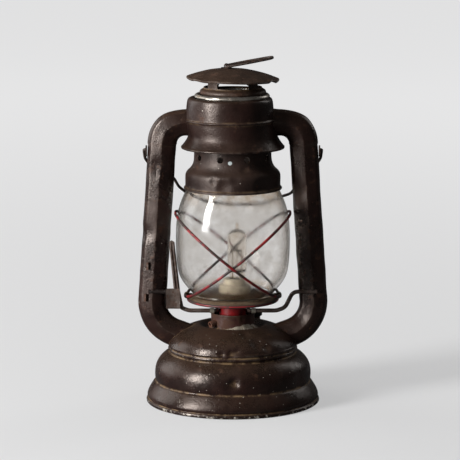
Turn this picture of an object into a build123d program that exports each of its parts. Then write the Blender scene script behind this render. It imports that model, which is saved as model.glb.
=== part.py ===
from build123d import *
import math
import os

# A small tubular hurricane lantern of pressed and soldered steel sheet, converted to an electric lamp.
# Millimetres. The origin is the centre of the foot on the table, +Z up, the front faces -Y.

sheet = 0.8             # steel sheet of the large pressings

# tank
tankFootRadius = 61.4
tankFootHeight = 7.2
tankWallRadius = 55.4
tankStepZ = 15.4
tankShoulderZ = 22.6
tankBandRadius = 45.4
tankBandZ = 36.0
tankDomeZ = 41.5
tankTopZ = 52.4
tankCrestZ = 55.4
tankTopRadius = 24.7
tankHoleRadius = 13.0
basePlateZ = 3.0

# burner collar, filler and gland
collarRadius = 15.4
collarTopZ = 63.8
fillerX, fillerY = 14.5, 29.0
fillerNeckRadius = 5.3
fillerCapRadius = 6.8
fillerFloorZ = 50.5
fillerCapZ = 57.1
fillerCapTopZ = 59.6
fillerThread = 1.8
fillerFlutes = 20
glandAngle = 215.0

# air tubes: an elbow from the canopy and a side tube down to the tank
tubeWidth = 20.5
tubeDepth = 15.0
tubeWall = 0.8
elbowZ = 200.0
elbowBend = 16.0
jointZ = 184.0
jointX = 49.6
footX, footZ = 57.1, 73.0
footBend = 24.0
footTurn = 74.0

# canopy and hood
canopyLipRadius = 36.0
canopyLipZ = 181.8
drumRadius = 31.0
drumBeadZ = 201.0
canopyTopZ = 217.0
canopyMouthRadius = 24.2
bellRadius = 33.4
bellBottomZ = 152.2
bellNeckRadius = 27.2
bellTopZ = 181.0
ventHoles = 9
ventHoleRadius = 1.9
ventHoleZ = 176.2
chimneyRadius = 19.6
crownBulgeRadius = 23.3
crownRadius = 20.5
crownWindows = 4
crownWindowZ = 226.6
capRadius = 32.3
capRimZ = 230.6
capRise = 6.6
capTilt = 1.8
ringHingeX, ringHingeZ = -4.5, 238.7
ringLength = 32.8
ringTilt = 10.6
ringWire = 0.85

# globe carriage
globeRim = 76.9
globeGlass = 1.7
plateRadius = 32.8
plateZ = 73.4
hubRadius = 9.5
guardWire = 1.0
guardLow, guardHigh = -32.6, 40.6
guardLowZ, guardSlope = 75.9, 0.81
guardFlatX = 41.3

# globe lift crank: a wire hung in both tubes, its middle looped behind the hub
crankY, crankZ = -6.2, 79.5
crankWire = 1.5
crankLowZ = 65.9
crankEndX = 59.5
ferruleX = 14.7

# bail
bailZ = 180.0
bailWire = 1.05
bailRestAngle = -40.0
earX = 61.3

# lamp
holderX = 1.2
holderZ = 78.2
lampX = 3.0
lampRadius = 7.0
pinSpacing = 6.35


def join(pieces):
    """One wire from lines and arcs that follow each other."""
    return Wire([edge for piece in pieces for edge in piece.edges()])


def revolve_outline(pieces, wall=None, side=Side.RIGHT):
    """Revolve a radius-height outline about Z, first thickened into sheet when a wall is given."""
    outline = join(pieces)
    if wall:
        outline = outline.offset_2d(wall, side=side, closed=True)
    return revolve(Plane.XZ * make_face(outline), Axis.Z)


def arc(start, middle, end):
    return ThreePointArc(start, middle, end)


def straight(*points):
    return Polyline(*points)


def ring_solid(radius, height, bead):
    """A round bead or wire ring about Z."""
    return revolve(Plane.XZ * Pos(radius, height) * Circle(bead), Axis.Z)


def disc(radius, low, high, x=0.0, y=0.0):
    return Pos(x, y, (low + high) / 2) * Cylinder(radius, high - low)


def tube_of(outer, inner, low, high, x=0.0, y=0.0):
    return disc(outer, low, high, x, y) - disc(inner, low - 1, high + 1, x, y)


def wire_along(points, radii, thickness):
    """A round wire through the points, each corner rounded by its own radius."""
    path = FilletPolyline(*points, radius=radii)
    start = Plane(origin=path @ 0, z_dir=path % 0)
    return sweep(start * Circle(thickness), path=path)


# ---- tank ----

def tank_outline():
    return [
        straight((tankFootRadius, 0), (tankFootRadius, tankFootHeight)),
        arc((tankFootRadius, tankFootHeight), (59.1, 11.4), (tankWallRadius, tankStepZ)),
        straight((tankWallRadius, tankStepZ), (tankWallRadius, tankShoulderZ)),
        arc((tankWallRadius, tankShoulderZ), (52.9, 29.2), (tankBandRadius, tankBandZ)),
        straight((tankBandRadius, tankBandZ), (tankBandRadius, tankDomeZ)),
        arc((tankBandRadius, tankDomeZ), (38.6, 49.8), (tankTopRadius, tankCrestZ)),
        straight((tankTopRadius, tankCrestZ), (22.6, tankCrestZ), (18.2, tankTopZ),
                 (tankHoleRadius, tankTopZ)),
    ]


def tank_beads():
    """The three fine beads rolled round the band under the dome."""
    return [ring_solid(tankBandRadius, height, 0.5) for height in (37.2, 39.1, 41.0)]


def tank_block():
    """The tank's outside as one full solid, used to trim what is soldered on it."""
    edges = tank_outline()
    closing = straight((tankHoleRadius, tankTopZ), (0, tankTopZ), (0, 0), (tankFootRadius, 0))
    return revolve(Plane.XZ * make_face(join(edges + [closing])), Axis.Z) + tank_beads()


def make_tank():
    shell = revolve_outline(tank_outline(), sheet, Side.LEFT)
    shell += tank_beads()
    shell += tube_of(tankFootRadius, tankFootRadius - 2.2, 0, 2.4)
    return shell - disc(fillerNeckRadius, 40, 70, fillerX, fillerY)


def make_base_plate():
    plate = disc(tankFootRadius - 2.3, basePlateZ, basePlateZ + sheet)
    return plate + tube_of(tankFootRadius - 2.3, tankFootRadius - 3.1, 0.6, basePlateZ + sheet)


def make_collar():
    collar = tube_of(collarRadius, collarRadius - sheet, tankTopZ + 0.1, collarTopZ)
    return collar + tube_of(17.0, collarRadius - sheet, tankTopZ + 0.1, tankTopZ + 0.9)


def make_solder():
    """The lumpy solder fillet round the collar's foot."""
    low = tankTopZ + 0.1
    outline = straight((collarRadius, low + 0.85), (17.05, low + 0.85), (17.05, low), (18.0, low),
                       (17.4, low + 2.0), (16.4, low + 3.2), (collarRadius, low + 3.5),
                       (collarRadius, low + 0.85))
    return revolve(Plane.XZ * make_face(outline), Axis.Z)


def make_gland():
    """The empty gland of the old wick shaft, low on the collar's left."""
    along = Vector(math.cos(math.radians(glandAngle)), math.sin(math.radians(glandAngle)), -0.25)
    foot = Vector(along.X, along.Y, 0) * (collarRadius - 0.4) + Vector(0, 0, 57.8)
    here = Plane(origin=foot, z_dir=along)
    body = here * Pos(0, 0, 2.4) * Cylinder(2.3, 4.8)
    bore = here * Pos(0, 0, 3.4) * Cylinder(1.4, 4.8)
    return body - bore - disc(collarRadius, 50, 70)


# ---- filler ----

def make_filler_neck():
    return tube_of(fillerNeckRadius, fillerNeckRadius - sheet, fillerFloorZ, fillerCapZ - 0.1,
                   fillerX, fillerY)


def make_filler_gasket():
    return tube_of(fillerNeckRadius, 3.0, fillerCapZ, fillerCapZ + 0.7, fillerX, fillerY)


def make_filler_cap():
    shoulder = fillerCapTopZ - 0.7
    skirt = tube_of(fillerCapRadius, fillerNeckRadius + 0.08, fillerCapZ - fillerThread, shoulder,
                    fillerX, fillerY)
    lid = disc(fillerCapRadius, fillerCapZ + 0.72, shoulder, fillerX, fillerY)
    crown = disc(fillerCapRadius - 1.8, shoulder, fillerCapTopZ, fillerX, fillerY)
    cap = skirt + lid + crown
    for step in range(fillerFlutes):
        turn = Rot(0, 0, 360 / fillerFlutes * step)
        cap -= Pos(fillerX, fillerY, 0) * turn * disc(0.45, 50, 70, fillerCapRadius + 0.1)
    return cap


# ---- air tubes ----

def tube_section(inset=0.0):
    """An eight-sided duct with a crease down its front and back, as deep as it is wide less a quarter."""
    half = tubeWidth / 2 - inset
    deep = tubeDepth / 2 - inset
    corners = [(0, -half), (0.56 * deep, -0.8 * half), (deep, 0), (0.56 * deep, 0.8 * half),
               (0, half), (-0.56 * deep, 0.8 * half), (-deep, 0), (-0.56 * deep, -0.8 * half)]
    outline = make_face(Polyline(*corners, close=True))
    return fillet(outline.vertices(), 1.1)


def duct(path, inset=0.0):
    start = Plane(origin=path @ 0, x_dir=(0, 1, 0), z_dir=path % 0)
    return sweep(start * tube_section(inset), path=path)


def elbow_path():
    """From inside the canopy out along X, then round and down to the lap with the side tube."""
    with BuildLine(Plane.XZ) as line:
        run = Line((27.0, elbowZ), (jointX - elbowBend, elbowZ))
        bend = RadiusArc(run @ 1, (jointX, elbowZ - elbowBend), elbowBend)
    return line.wire()


def side_path(extra=0.0):
    """Down from the lap, leaning outwards, then round the foot and in to the tank."""
    with BuildLine(Plane.XZ) as line:
        lean = Vector(footX - jointX, footZ - jointZ).normalized()
        run = Line((jointX - 2 * lean.X, jointZ - 2 * lean.Y), (footX, footZ))
        bend = JernArc(run @ 1, run % 1, footBend, -footTurn)
        Line(bend @ 1, bend @ 1 + (bend % 1) * (17.0 + extra))
    return line.wire()


def crank_bore():
    return Pos(crankEndX / 2 + 21, crankY, crankZ) * Rot(0, 90, 0) * Cylinder(crankWire + 0.08, 38)


def make_side_tube(tank):
    path = side_path()
    solid = duct(path) - duct(side_path(1.0), tubeWall)
    above = Pos(jointX, 0, jointZ + 10) * Box(60, 40, 20)
    return solid - above - tank - crank_bore()


def make_elbow():
    path = elbow_path()
    solid = duct(path) - duct(path, tubeWall)
    return solid - disc(drumRadius - sheet, 180, 220)


def make_ear():
    """A pressed lug soldered on the tube's outside, drilled for the bail's end."""
    plate = Pos(earX, 0, 180.6) * Box(sheet, 6.4, 8.4)
    foot = Pos(earX - 0.9, 0, 175.6) * Box(1.8 + sheet, 6.4, 1.6)
    lug = plate + foot
    lug -= Pos(earX, 0, bailZ) * Rot(0, 90, 0) * Cylinder(bailWire + 0.07, 6)
    return lug - duct(side_path())


def make_tube_tabs():
    """Two small punched hooks on the front of the left tube."""
    tabs = []
    for x, z in ((-59.8, 97.9), (-61.6, 75.3)):
        tab = Pos(x, -6.6, z) * Rot(0, 0, -24) * Box(1.4, 2.6, 5.2)
        tabs.append(tab - duct(side_path()).mirror(Plane.YZ))
    return Compound(children=[piece for tab in tabs for piece in tab.solids()])


# ---- canopy ----

def make_canopy():
    edges = [
        straight((canopyMouthRadius + 1.4, canopyTopZ - 0.4), (27.4, canopyTopZ), (28.6, 216.0),
                 (29.4, 211.5), (drumRadius, drumBeadZ), (drumRadius, 193.5)),
        arc((drumRadius, 193.5), (32.4, 187.6), (canopyLipRadius, canopyLipZ)),
    ]
    mouth = extrude(Plane.YZ.offset(26.0) * Pos(0, elbowZ) * tube_section(), amount=7.0)
    drum = revolve_outline(edges, sheet, Side.RIGHT) - mouth - mirrored(mouth)
    bead = ring_solid(drumRadius, drumBeadZ, 0.7) - mouth - mirrored(mouth)
    lip = ring_solid(canopyLipRadius - 0.3, canopyLipZ, 0.7)
    return drum + bead + lip


def make_top_ring():
    outline = Pos(25.3, canopyTopZ + 1.05) * RectangleRounded(3.4, 2.0, 0.8)
    return revolve(Plane.XZ * outline, Axis.Z)


# ---- hood ----

def make_bell():
    edges = [
        straight((bellRadius, bellBottomZ), (bellRadius, 163.0)),
        arc((bellRadius, 163.0), (31.0, 166.2), (28.3, 169.4)),
        arc((28.3, 169.4), (27.5, 170.9), (bellNeckRadius, 172.6)),
        straight((bellNeckRadius, 172.6), (bellNeckRadius, bellTopZ), (chimneyRadius + 0.1, bellTopZ)),
    ]
    bell = revolve_outline(edges, 0.6, Side.LEFT)
    bell += ring_solid(bellRadius + 0.4, bellBottomZ + 0.8, 0.8)
    for step in range(ventHoles):
        turn = Rot(0, 0, 250 + 360 / ventHoles * step)
        bell -= turn * Pos(bellNeckRadius, 0, ventHoleZ) * Rot(0, 90, 0) * Cylinder(ventHoleRadius, 4)
    return bell


def make_chimney():
    tube = tube_of(chimneyRadius, chimneyRadius - 0.6, bellTopZ - 2.0, 221.0)
    return tube


def dome_arc(lower=0.0):
    """The cap's skin as an arc centred on its axis, from rim to apex."""
    ball = (capRadius ** 2 + capRise ** 2) / (2 * capRise)
    middle = capRimZ + capRise - ball + math.sqrt(ball ** 2 - capRadius ** 2 / 4)
    return arc((capRadius, capRimZ - lower), (capRadius / 2, middle - lower),
               (0, capRimZ + capRise - lower))


def tilted(part):
    """Lean a part about the cap's rim as the bent cap leans."""
    return Pos(0, 0, capRimZ) * Rot(0, capTilt, 0) * Pos(0, 0, -capRimZ) * part


def cap_lens(lower, edge):
    """A full block bounded by the cap's skin, reaching up or down to a flat edge height."""
    closing = straight((0, capRimZ + capRise - lower), (0, edge), (capRadius, edge),
                       (capRadius, capRimZ - lower))
    return tilted(revolve(Plane.XZ * make_face(join([dome_arc(lower), closing])), Axis.Z))


def make_crown():
    edges = [
        straight((chimneyRadius, 216.0), (chimneyRadius, 218.6)),
        arc((chimneyRadius, 218.6), (21.6, 218.9), (crownBulgeRadius, 220.0)),
        straight((crownBulgeRadius, 220.0), (crownBulgeRadius, 221.4)),
        arc((crownBulgeRadius, 221.4), (22.4, 222.9), (crownRadius, 223.6)),
        straight((crownRadius, 223.6), (crownRadius, 235.6)),
    ]
    crown = revolve_outline(edges, 0.6, Side.RIGHT)
    for step in range(crownWindows):
        turn = Rot(0, 0, 90 * step + 90)
        crown -= turn * Pos(crownRadius, 0, crownWindowZ) * Box(9.0, 22.0, 4.6)
    return crown - cap_lens(sheet + 0.02, 250.0)


def make_cap():
    apex = capRimZ + capRise
    closed = join([
        dome_arc(),
        straight((0, apex), (0, apex - sheet)),
        dome_arc(sheet),
        straight((capRadius, capRimZ - sheet), (capRadius, capRimZ)),
    ])
    cap = revolve(Plane.XZ * make_face(closed), Axis.Z)
    return tilted(cap + ring_solid(capRadius - 0.7, capRimZ - 0.5, 0.9))


def make_staple():
    """A strap bent over the ring's hinge wire and let down into the cap."""
    bridge = Pos(ringHingeX, 0, ringHingeZ) * Rot(90, 0, 0) * Cylinder(ringWire + 1.0, 5.0)
    bridge += Pos(ringHingeX, 0, ringHingeZ - 1.3) * Box(2 * ringWire + 2.0, 5.0, 2.6)
    slot = Pos(ringHingeX, 0, ringHingeZ) * Rot(90, 0, 0) * Cylinder(ringWire + 0.08, 9.0)
    window = Pos(ringHingeX + 2.2, 0, ringHingeZ + 0.6) * Box(4.4, 2.0, 5.0)
    return bridge - slot - window - cap_lens(0.0, 220.0)


def make_lift_ring():
    half = 6.6
    points = [(0, -2.2, 0), (0, -half, 0), (ringLength * 0.45, -half - 1.6, 0),
              (ringLength, -half + 0.4, 0), (ringLength, half - 0.4, 0),
              (ringLength * 0.45, half + 1.6, 0), (0, half, 0), (0, 2.2, 0)]
    wire = wire_along(points, [1.6, 12.0, 5.0, 5.0, 12.0, 1.6], ringWire)
    wire += Rot(90, 0, 0) * Cylinder(ringWire, 5.2)
    return Pos(ringHingeX, 0, ringHingeZ) * Rot(0, -ringTilt, 0) * wire


# ---- globe carriage ----

def globe_curve(inset):
    """The blown profile, moved in by the glass thickness for its inside."""
    profile = ((27.6, globeRim), (36.0, 87.1), (39.3, 97.2), (40.25, 115.8), (39.5, 131.6),
               (36.6, 143.0), (32.2, 153.0))
    return Spline(*[(radius - inset, height) for radius, height in profile])


def make_globe():
    outside = globe_curve(0.0)
    inside = globe_curve(globeGlass)
    rim = straight(outside @ 1, (32.2, 156.0), (32.2 - globeGlass, 156.0), inside @ 1)
    foot = straight(inside @ 0, outside @ 0)
    return revolve(Plane.XZ * make_face(join([outside, rim, inside, foot])), Axis.Z)


def make_globe_plate():
    edges = [straight((plateRadius - 1.2, plateZ + 1.2), (28.6, 75.9), (25.4, 76.2)),
             arc((25.4, 76.2), (18.0, 77.4), (hubRadius + 0.1, 77.9))]
    plate = revolve_outline(edges, sheet, Side.LEFT)
    return plate + ring_solid(plateRadius - 1.2, plateZ, 1.2)


def make_hub():
    """The pan under the globe plate and the hub that slides in the collar."""
    edges = [arc((30.2, 73.4), (21.0, 70.3), (12.6, 68.3)), straight((12.6, 68.3), (hubRadius - 0.2, 68.3))]
    pan = revolve_outline(edges, sheet, Side.RIGHT)
    return pan + tube_of(hubRadius, hubRadius - sheet, 59.0, 77.0)


def guard_path(lift):
    middle = (guardHigh + guardLow) / 2
    reach = (guardHigh - guardLow) / 2
    slope = math.atan(guardSlope)
    height = guardLowZ + (middle - guardLow) * guardSlope
    plane = Plane(origin=(middle, 0, height), x_dir=(math.cos(slope), 0, math.sin(slope)),
                  z_dir=(-math.sin(slope), 0, math.cos(slope)))
    return plane * Ellipse(reach / math.cos(slope), 42.2 + lift)


def make_guard(lift):
    """One tilted wire hoop, hammered flat where it slides between globe and tube."""
    outline = guard_path(lift).edges()[0]
    halves = []
    for edge in (outline.trim(0.0, 0.5), outline.trim(0.5, 1.0)):
        start = Plane(origin=edge @ 0, z_dir=edge % 0)
        halves.append(sweep(start * Circle(guardWire), path=edge))
    hoop = halves[0] + halves[1]
    return hoop - Pos(guardFlatX + 5, 0, 130) * Box(10, 30, 60)


def make_eyelet():
    """A folded tab on the plate's rim that holds a hoop's low side."""
    eye = Pos(guardLow, 0, guardLowZ) * Rot(90, 0, 0) * Cylinder(2.0, 5.2)
    tab = Pos(guardLow + 2.0, 0, guardLowZ + 0.6) * Box(3.6, 5.2, 0.9)
    bore = Pos(guardLow, 0, guardLowZ) * Rot(90, 0, 0) * Cylinder(guardWire + 0.2, 7)
    eyelet = (eye + tab - bore) - make_globe_plate() - make_hub()
    return max(eyelet.solids(), key=lambda solid: solid.volume)


# ---- globe lift crank ----

def make_crank_arm():
    """The right half of the crank wire, from the tube to its ferrule."""
    points = [(crankEndX, crankY, crankZ), (42.5, crankY, crankZ), (37.0, crankY, crankLowZ + 2.2),
              (31.0, crankY, crankLowZ), (ferruleX, crankY, crankLowZ)]
    return wire_along(points, [4.2, 5.0, 8.0], crankWire)


def make_ferrule():
    here = Pos(ferruleX, crankY, crankLowZ) * Rot(0, 90, 0)
    return here * Cylinder(crankWire + 0.35, 3.0) - here * Cylinder(crankWire, 4)


def make_lift_loop():
    """The middle of the crank, passing behind the hub."""
    side = hubRadius + 1.7
    back = side + 1.6
    points = [(-ferruleX, crankY, crankLowZ), (-side, crankY, crankLowZ), (-side, back, crankLowZ),
              (side, back, crankLowZ), (side, crankY, crankLowZ), (ferruleX, crankY, crankLowZ)]
    return wire_along(points, [1.9, side - 0.3, side - 0.3, 1.9], crankWire - 0.2)


def make_lever():
    """The pressed lever: a ribbed strip up the left tube and a curved plate at its foot."""
    strip = Plane.XZ * make_face(Polyline((-34.6, 67.8), (-37.2, 80.4), (-41.2, 117.0), (-43.2, 118.0),
                                          (-45.0, 116.6), (-41.6, 80.4), (-38.6, 67.8), close=True))
    strip = extrude(strip, amount=0.9)
    rib = Plane.XZ * make_face(Polyline((-36.2, 68.4), (-39.0, 80.4), (-42.6, 115.6), (-43.5, 115.6),
                                        (-40.0, 80.4), (-37.2, 68.4), close=True))
    rib = extrude(rib, amount=1.7)
    lever = Pos(0, crankY - crankWire, 0) * (strip + rib)
    bowed = Pos(-42.6, -31.6, 75.0) * (Cylinder(23.4, 14.6) - Cylinder(22.6, 16))
    window = Pos(-42.2, -9.0, 75.0) * Box(10.0, 6.0, 15)
    return lever + (bowed & window)


# ---- bail ----

def make_bail():
    points = [(-60.4, 0), (-63.4, 0), (-62.2, 12), (-56.0, 27), (-42.2, 38), (-38.8, 50), (-33, 58.8),
              (-20, 70), (0, 74.6), (20, 73.2), (28.6, 69.6), (34.6, 64), (42.0, 59.6), (47.0, 45),
              (56.0, 27), (62.2, 12), (63.4, 0), (60.4, 0)]
    radii = [1.6, 14, 12, 8, 14, 12, 16, 24, 20, 12, 10, 8, 16, 14, 16, 1.6]
    path = FilletPolyline(*[(x, h, 0) for x, h in points], radius=radii)
    start = Plane(origin=path @ 0, z_dir=path % 0)
    wire = sweep(start * Circle(bailWire), path=path)
    return Pos(0, 0, bailZ) * Rot(bailRestAngle, 0, 0) * wire


# ---- lamp ----

def make_holder():
    lower = disc(11.3, holderZ, holderZ + 5.0, holderX)
    upper = disc(8.1, holderZ + 5.0, holderZ + 9.6, holderX)
    body = fillet((lower + upper).edges().filter_by(GeomType.CIRCLE), 0.6)
    for side in (-1, 1):
        body -= disc(1.0, holderZ - 1, holderZ + 12, lampX + side * pinSpacing / 2)
    return body


def make_contacts():
    clips = [tube_of(0.95, 0.56, holderZ + 0.4, holderZ + 7.4, lampX + side * pinSpacing / 2)
             for side in (-1, 1)]
    return Compound(children=clips)


def make_leads():
    """Two insulated leads from the contacts down through the hub."""
    leads = []
    for side in (-1, 1):
        top = lampX + side * pinSpacing / 2
        points = [(top, 0, holderZ + 0.4), (top, 0, 74.0), (side * 2.6 + 0.6, 0, 66.0),
                  (side * 2.6, 0, 56.2)]
        leads.append(wire_along(points, [4, 8], 0.9))
    return Compound(children=leads)


def make_terminal_block():
    block = Pos(0, 0, 50.6) * Box(11.0, 7.0, 11.0)
    for side in (-1, 1):
        block -= Pos(side * 2.6, -3.0, 52.0) * Rot(90, 0, 0) * Cylinder(1.3, 3.0)
    return block


def make_lamp_glass():
    base = holderZ + 9.8
    tip = base + 39.8
    shoulder = base + 27.5
    skin = lampRadius - 0.8
    dome = Spline((lampRadius, shoulder), (5.2, base + 32.2), (1.8, base + 34.8), (1.2, base + 37.5),
                  (0, tip), tangents=[(0, 1), (-1, 0)])
    outside = [
        straight((0, tip), (0, base + 5.0), (lampRadius - 1.2, base + 5.0),
                 (lampRadius, base + 6.6), (lampRadius, shoulder)),
        dome,
    ]
    inside = [
        straight((0, shoulder + skin), (0, base + 6.0), (skin - 0.4, base + 6.0), (skin, base + 7.4),
                 (skin, shoulder)),
        arc((skin, shoulder), (skin * math.sqrt(0.5), shoulder + skin * math.sqrt(0.5)),
            (0, shoulder + skin)),
    ]
    bulb = revolve(Plane.XZ * make_face(join(outside)), Axis.Z)
    bulb -= revolve(Plane.XZ * make_face(join(inside)), Axis.Z)
    bulb += Pos(0, 0, base + 2.6) * Box(11.0, 3.6, 5.2)
    for side in (-1, 1):
        bulb -= disc(0.5, base - 1, base + 6.2, side * pinSpacing / 2)
    return Pos(lampX, 0, 0) * bulb


def make_filament():
    """Pins, support wires and filament, one welded mount."""
    base = holderZ + 9.8
    mount = None
    for side in (-1, 1):
        x = side * pinSpacing / 2
        rod = disc(0.44, holderZ + 1.5, base + 20.0, x)
        mount = rod if mount is None else mount + rod
    coil = Pos(0, 0, base + 20.0) * Rot(0, 90, 0) * Cylinder(0.7, pinSpacing + 0.9)
    post = disc(0.35, base + 6.1, base + 24.0)
    return Pos(lampX, 0, 0) * (mount + coil + post)


# ---- assembly ----

def mirrored(part):
    return part.mirror(Plane.YZ)


def main():
    tank = tank_block()
    side_tube = make_side_tube(tank)
    elbow = make_elbow()
    ear = make_ear()
    guard_front = make_guard(0.0)
    guard_rear = mirrored(make_guard(2.15))
    eyelet = make_eyelet()
    arm = make_crank_arm()
    ferrule = make_ferrule()
    nodes = {
        "tank_shell": make_tank(),
        "tank_base_plate": make_base_plate(),
        "burner_collar": make_collar(),
        "collar_solder": max((make_solder() - make_gland()).solids(), key=lambda solid: solid.volume),
        "wick_shaft_gland": make_gland(),
        "filler_neck": make_filler_neck(),
        "filler_gasket": make_filler_gasket(),
        "filler_cap": make_filler_cap(),
        "right_side_tube": side_tube,
        "left_side_tube": mirrored(side_tube),
        "right_elbow": elbow,
        "left_elbow": mirrored(elbow),
        "right_bail_ear": ear,
        "left_bail_ear": mirrored(ear),
        "left_tube_tabs": make_tube_tabs(),
        "canopy": make_canopy(),
        "canopy_top_ring": make_top_ring(),
        "bell": make_bell(),
        "chimney": make_chimney(),
        "crown": make_crown(),
        "hood_cap": make_cap(),
        "ring_staple": make_staple(),
        "lift_ring": make_lift_ring(),
        "globe": make_globe(),
        "globe_plate": make_globe_plate(),
        "carriage_hub": make_hub(),
        "guard_hoop_right": guard_front,
        "guard_hoop_left": guard_rear,
        "left_guard_eyelet": eyelet,
        "right_guard_eyelet": mirrored(eyelet),
        "right_crank_arm": arm,
        "left_crank_arm": mirrored(arm),
        "right_ferrule": ferrule,
        "left_ferrule": mirrored(ferrule),
        "lift_loop": make_lift_loop(),
        "lift_lever": make_lever(),
        "bail": make_bail(),
        "lamp_holder": make_holder(),
        "holder_contacts": make_contacts(),
        "lamp_leads": make_leads(),
        "terminal_block": make_terminal_block(),
        "lamp_glass": make_lamp_glass(),
        "lamp_filament": make_filament(),
    }
    os.makedirs("parts", exist_ok=True)
    for name, part in nodes.items():
        export_step(part, f"parts/{name}.step")
        print(name, len(part.solids()), round(part.volume, 1))


main()
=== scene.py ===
import math

import bmesh
import bpy
from mathutils import Matrix, Vector, noise


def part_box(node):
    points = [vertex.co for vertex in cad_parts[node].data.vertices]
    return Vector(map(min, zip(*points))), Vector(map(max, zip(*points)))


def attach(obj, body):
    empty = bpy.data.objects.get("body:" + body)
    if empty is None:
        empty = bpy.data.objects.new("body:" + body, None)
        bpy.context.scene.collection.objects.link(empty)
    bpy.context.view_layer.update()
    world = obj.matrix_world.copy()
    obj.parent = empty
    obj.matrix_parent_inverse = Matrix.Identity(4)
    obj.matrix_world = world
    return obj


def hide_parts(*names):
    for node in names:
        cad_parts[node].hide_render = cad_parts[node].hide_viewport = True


# Old tubular lantern with a capsule lamp in its globe: its looks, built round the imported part.
# Lists of points are millimetres, (radius, height) for turned pieces.

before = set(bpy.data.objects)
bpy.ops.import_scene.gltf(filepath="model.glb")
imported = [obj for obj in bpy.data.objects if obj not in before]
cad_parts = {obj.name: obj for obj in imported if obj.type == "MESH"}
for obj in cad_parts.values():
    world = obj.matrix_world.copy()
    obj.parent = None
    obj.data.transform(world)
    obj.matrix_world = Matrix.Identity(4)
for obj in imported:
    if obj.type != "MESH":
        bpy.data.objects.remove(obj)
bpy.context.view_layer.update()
toMetres = 0.001
print("frame loaded:", len(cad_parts), "nodes")


# nodes for materials

def addNode(tree, kind, values=None, **settings):
    node = tree.nodes.new(kind)
    for name, value in settings.items():
        setattr(node, name, value)
    for name, value in (values or {}).items():
        feed(tree, node.inputs[name], value)
    return node


def feed(tree, socket, value):
    if isinstance(value, bpy.types.NodeSocket):
        tree.links.new(value, socket)
    else:
        socket.default_value = value


def calc(tree, operation, first, second=0.0, clamp=False):
    node = addNode(tree, "ShaderNodeMath", operation=operation, use_clamp=clamp)
    feed(tree, node.inputs[0], first)
    feed(tree, node.inputs[1], second)
    return node.outputs[0]


def times(tree, first, second, clamp=False):
    return calc(tree, "MULTIPLY", first, second, clamp)


def spread(tree, value, low, high, bottom=0.0, top=1.0):
    node = addNode(tree, "ShaderNodeMapRange", interpolation_type="SMOOTHSTEP")
    for name, setting in (("Value", value), ("From Min", low), ("From Max", high),
                          ("To Min", bottom), ("To Max", top)):
        feed(tree, node.inputs[name], setting)
    return node.outputs[0]


def blendColour(tree, share, under, over):
    node = addNode(tree, "ShaderNodeMix", data_type="RGBA")
    feed(tree, node.inputs[0], share)
    for socket, value in ((node.inputs[6], under), (node.inputs[7], over)):
        feed(tree, socket, value if isinstance(value, bpy.types.NodeSocket) else (*value, 1.0))
    return node.outputs[2]


def objectPlace(tree):
    return addNode(tree, "ShaderNodeTexCoord").outputs["Object"]


def shaderGroup(name, given, made):
    tree = bpy.data.node_groups.new(name, "ShaderNodeTree")
    for label, value in given:
        tree.interface.new_socket(label, in_out="INPUT", socket_type="NodeSocketFloat").default_value = value
    for label in made:
        tree.interface.new_socket(label, in_out="OUTPUT", socket_type="NodeSocketFloat")
    return tree, tree.nodes.new("NodeGroupInput").outputs, tree.nodes.new("NodeGroupOutput").inputs


def useGroup(tree, group, **values):
    node = addNode(tree, "ShaderNodeGroup", node_tree=group)
    for name, value in values.items():
        feed(tree, node.inputs[name], value)
    return node.outputs


def makePatches():
    # cloudy blotches: Cover is their share of the surface
    tree, given, made = shaderGroup("cloudyPatches", [("Scale", 60.0), ("Cover", 0.5), ("Softness", 0.06),
                                                      ("Seed", 0.0)], ["Mask"])
    cloud = addNode(tree, "ShaderNodeTexNoise",
                    {"Vector": objectPlace(tree), "W": given["Seed"], "Scale": given["Scale"],
                     "Detail": 7.0, "Roughness": 0.62}, noise_dimensions="4D").outputs[0]
    middle = calc(tree, "MULTIPLY_ADD", given["Cover"], -0.42)
    tree.nodes[-1].inputs[2].default_value = 0.71
    low = calc(tree, "SUBTRACT", middle, given["Softness"])
    high = calc(tree, "ADD", middle, given["Softness"])
    tree.links.new(spread(tree, cloud, low, high), made["Mask"])
    return tree


def makeSpecks():
    # scattered flecks of spilt paint and bare metal
    tree, given, made = shaderGroup("scatteredSpecks", [("Scale", 300.0), ("Size", 0.2), ("Share", 0.1)],
                                    ["Mask"])
    cells = addNode(tree, "ShaderNodeTexVoronoi", {"Vector": objectPlace(tree), "Scale": given["Scale"]})
    choice = addNode(tree, "ShaderNodeSeparateColor", {"Color": cells.outputs["Color"]}).outputs[0]
    chosen = calc(tree, "LESS_THAN", choice, given["Share"])
    smaller = times(tree, given["Size"], 0.6)
    near = spread(tree, cells.outputs["Distance"], given["Size"], smaller)
    tree.links.new(times(tree, chosen, near), made["Mask"])
    return tree


def makeSeams():
    # reads the creases marked on the mesh and breaks them up: Dirt lies in hollows, Wear on edges, which is
    # worn metal and also a painted highlight along the creases
    tree, given, made = shaderGroup("seamsAndEdges", [("Dirt", 0.6), ("Wear", 0.5), ("Scale", 180.0)],
                                    ["Dirt", "Wear"])
    cloud = addNode(tree, "ShaderNodeTexNoise",
                    {"Vector": objectPlace(tree), "Scale": given["Scale"], "Detail": 5.0,
                     "Roughness": 0.65}).outputs[0]
    for name, label, low, high in (("hollow", "Dirt", 0.38, 0.62), ("edge", "Wear", 0.44, 0.62)):
        marked = addNode(tree, "ShaderNodeAttribute", attribute_name=name).outputs["Fac"]
        broken = times(tree, marked, spread(tree, cloud, low, high))
        tree.links.new(times(tree, broken, given[label], clamp=True), made[label])
    return tree


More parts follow.
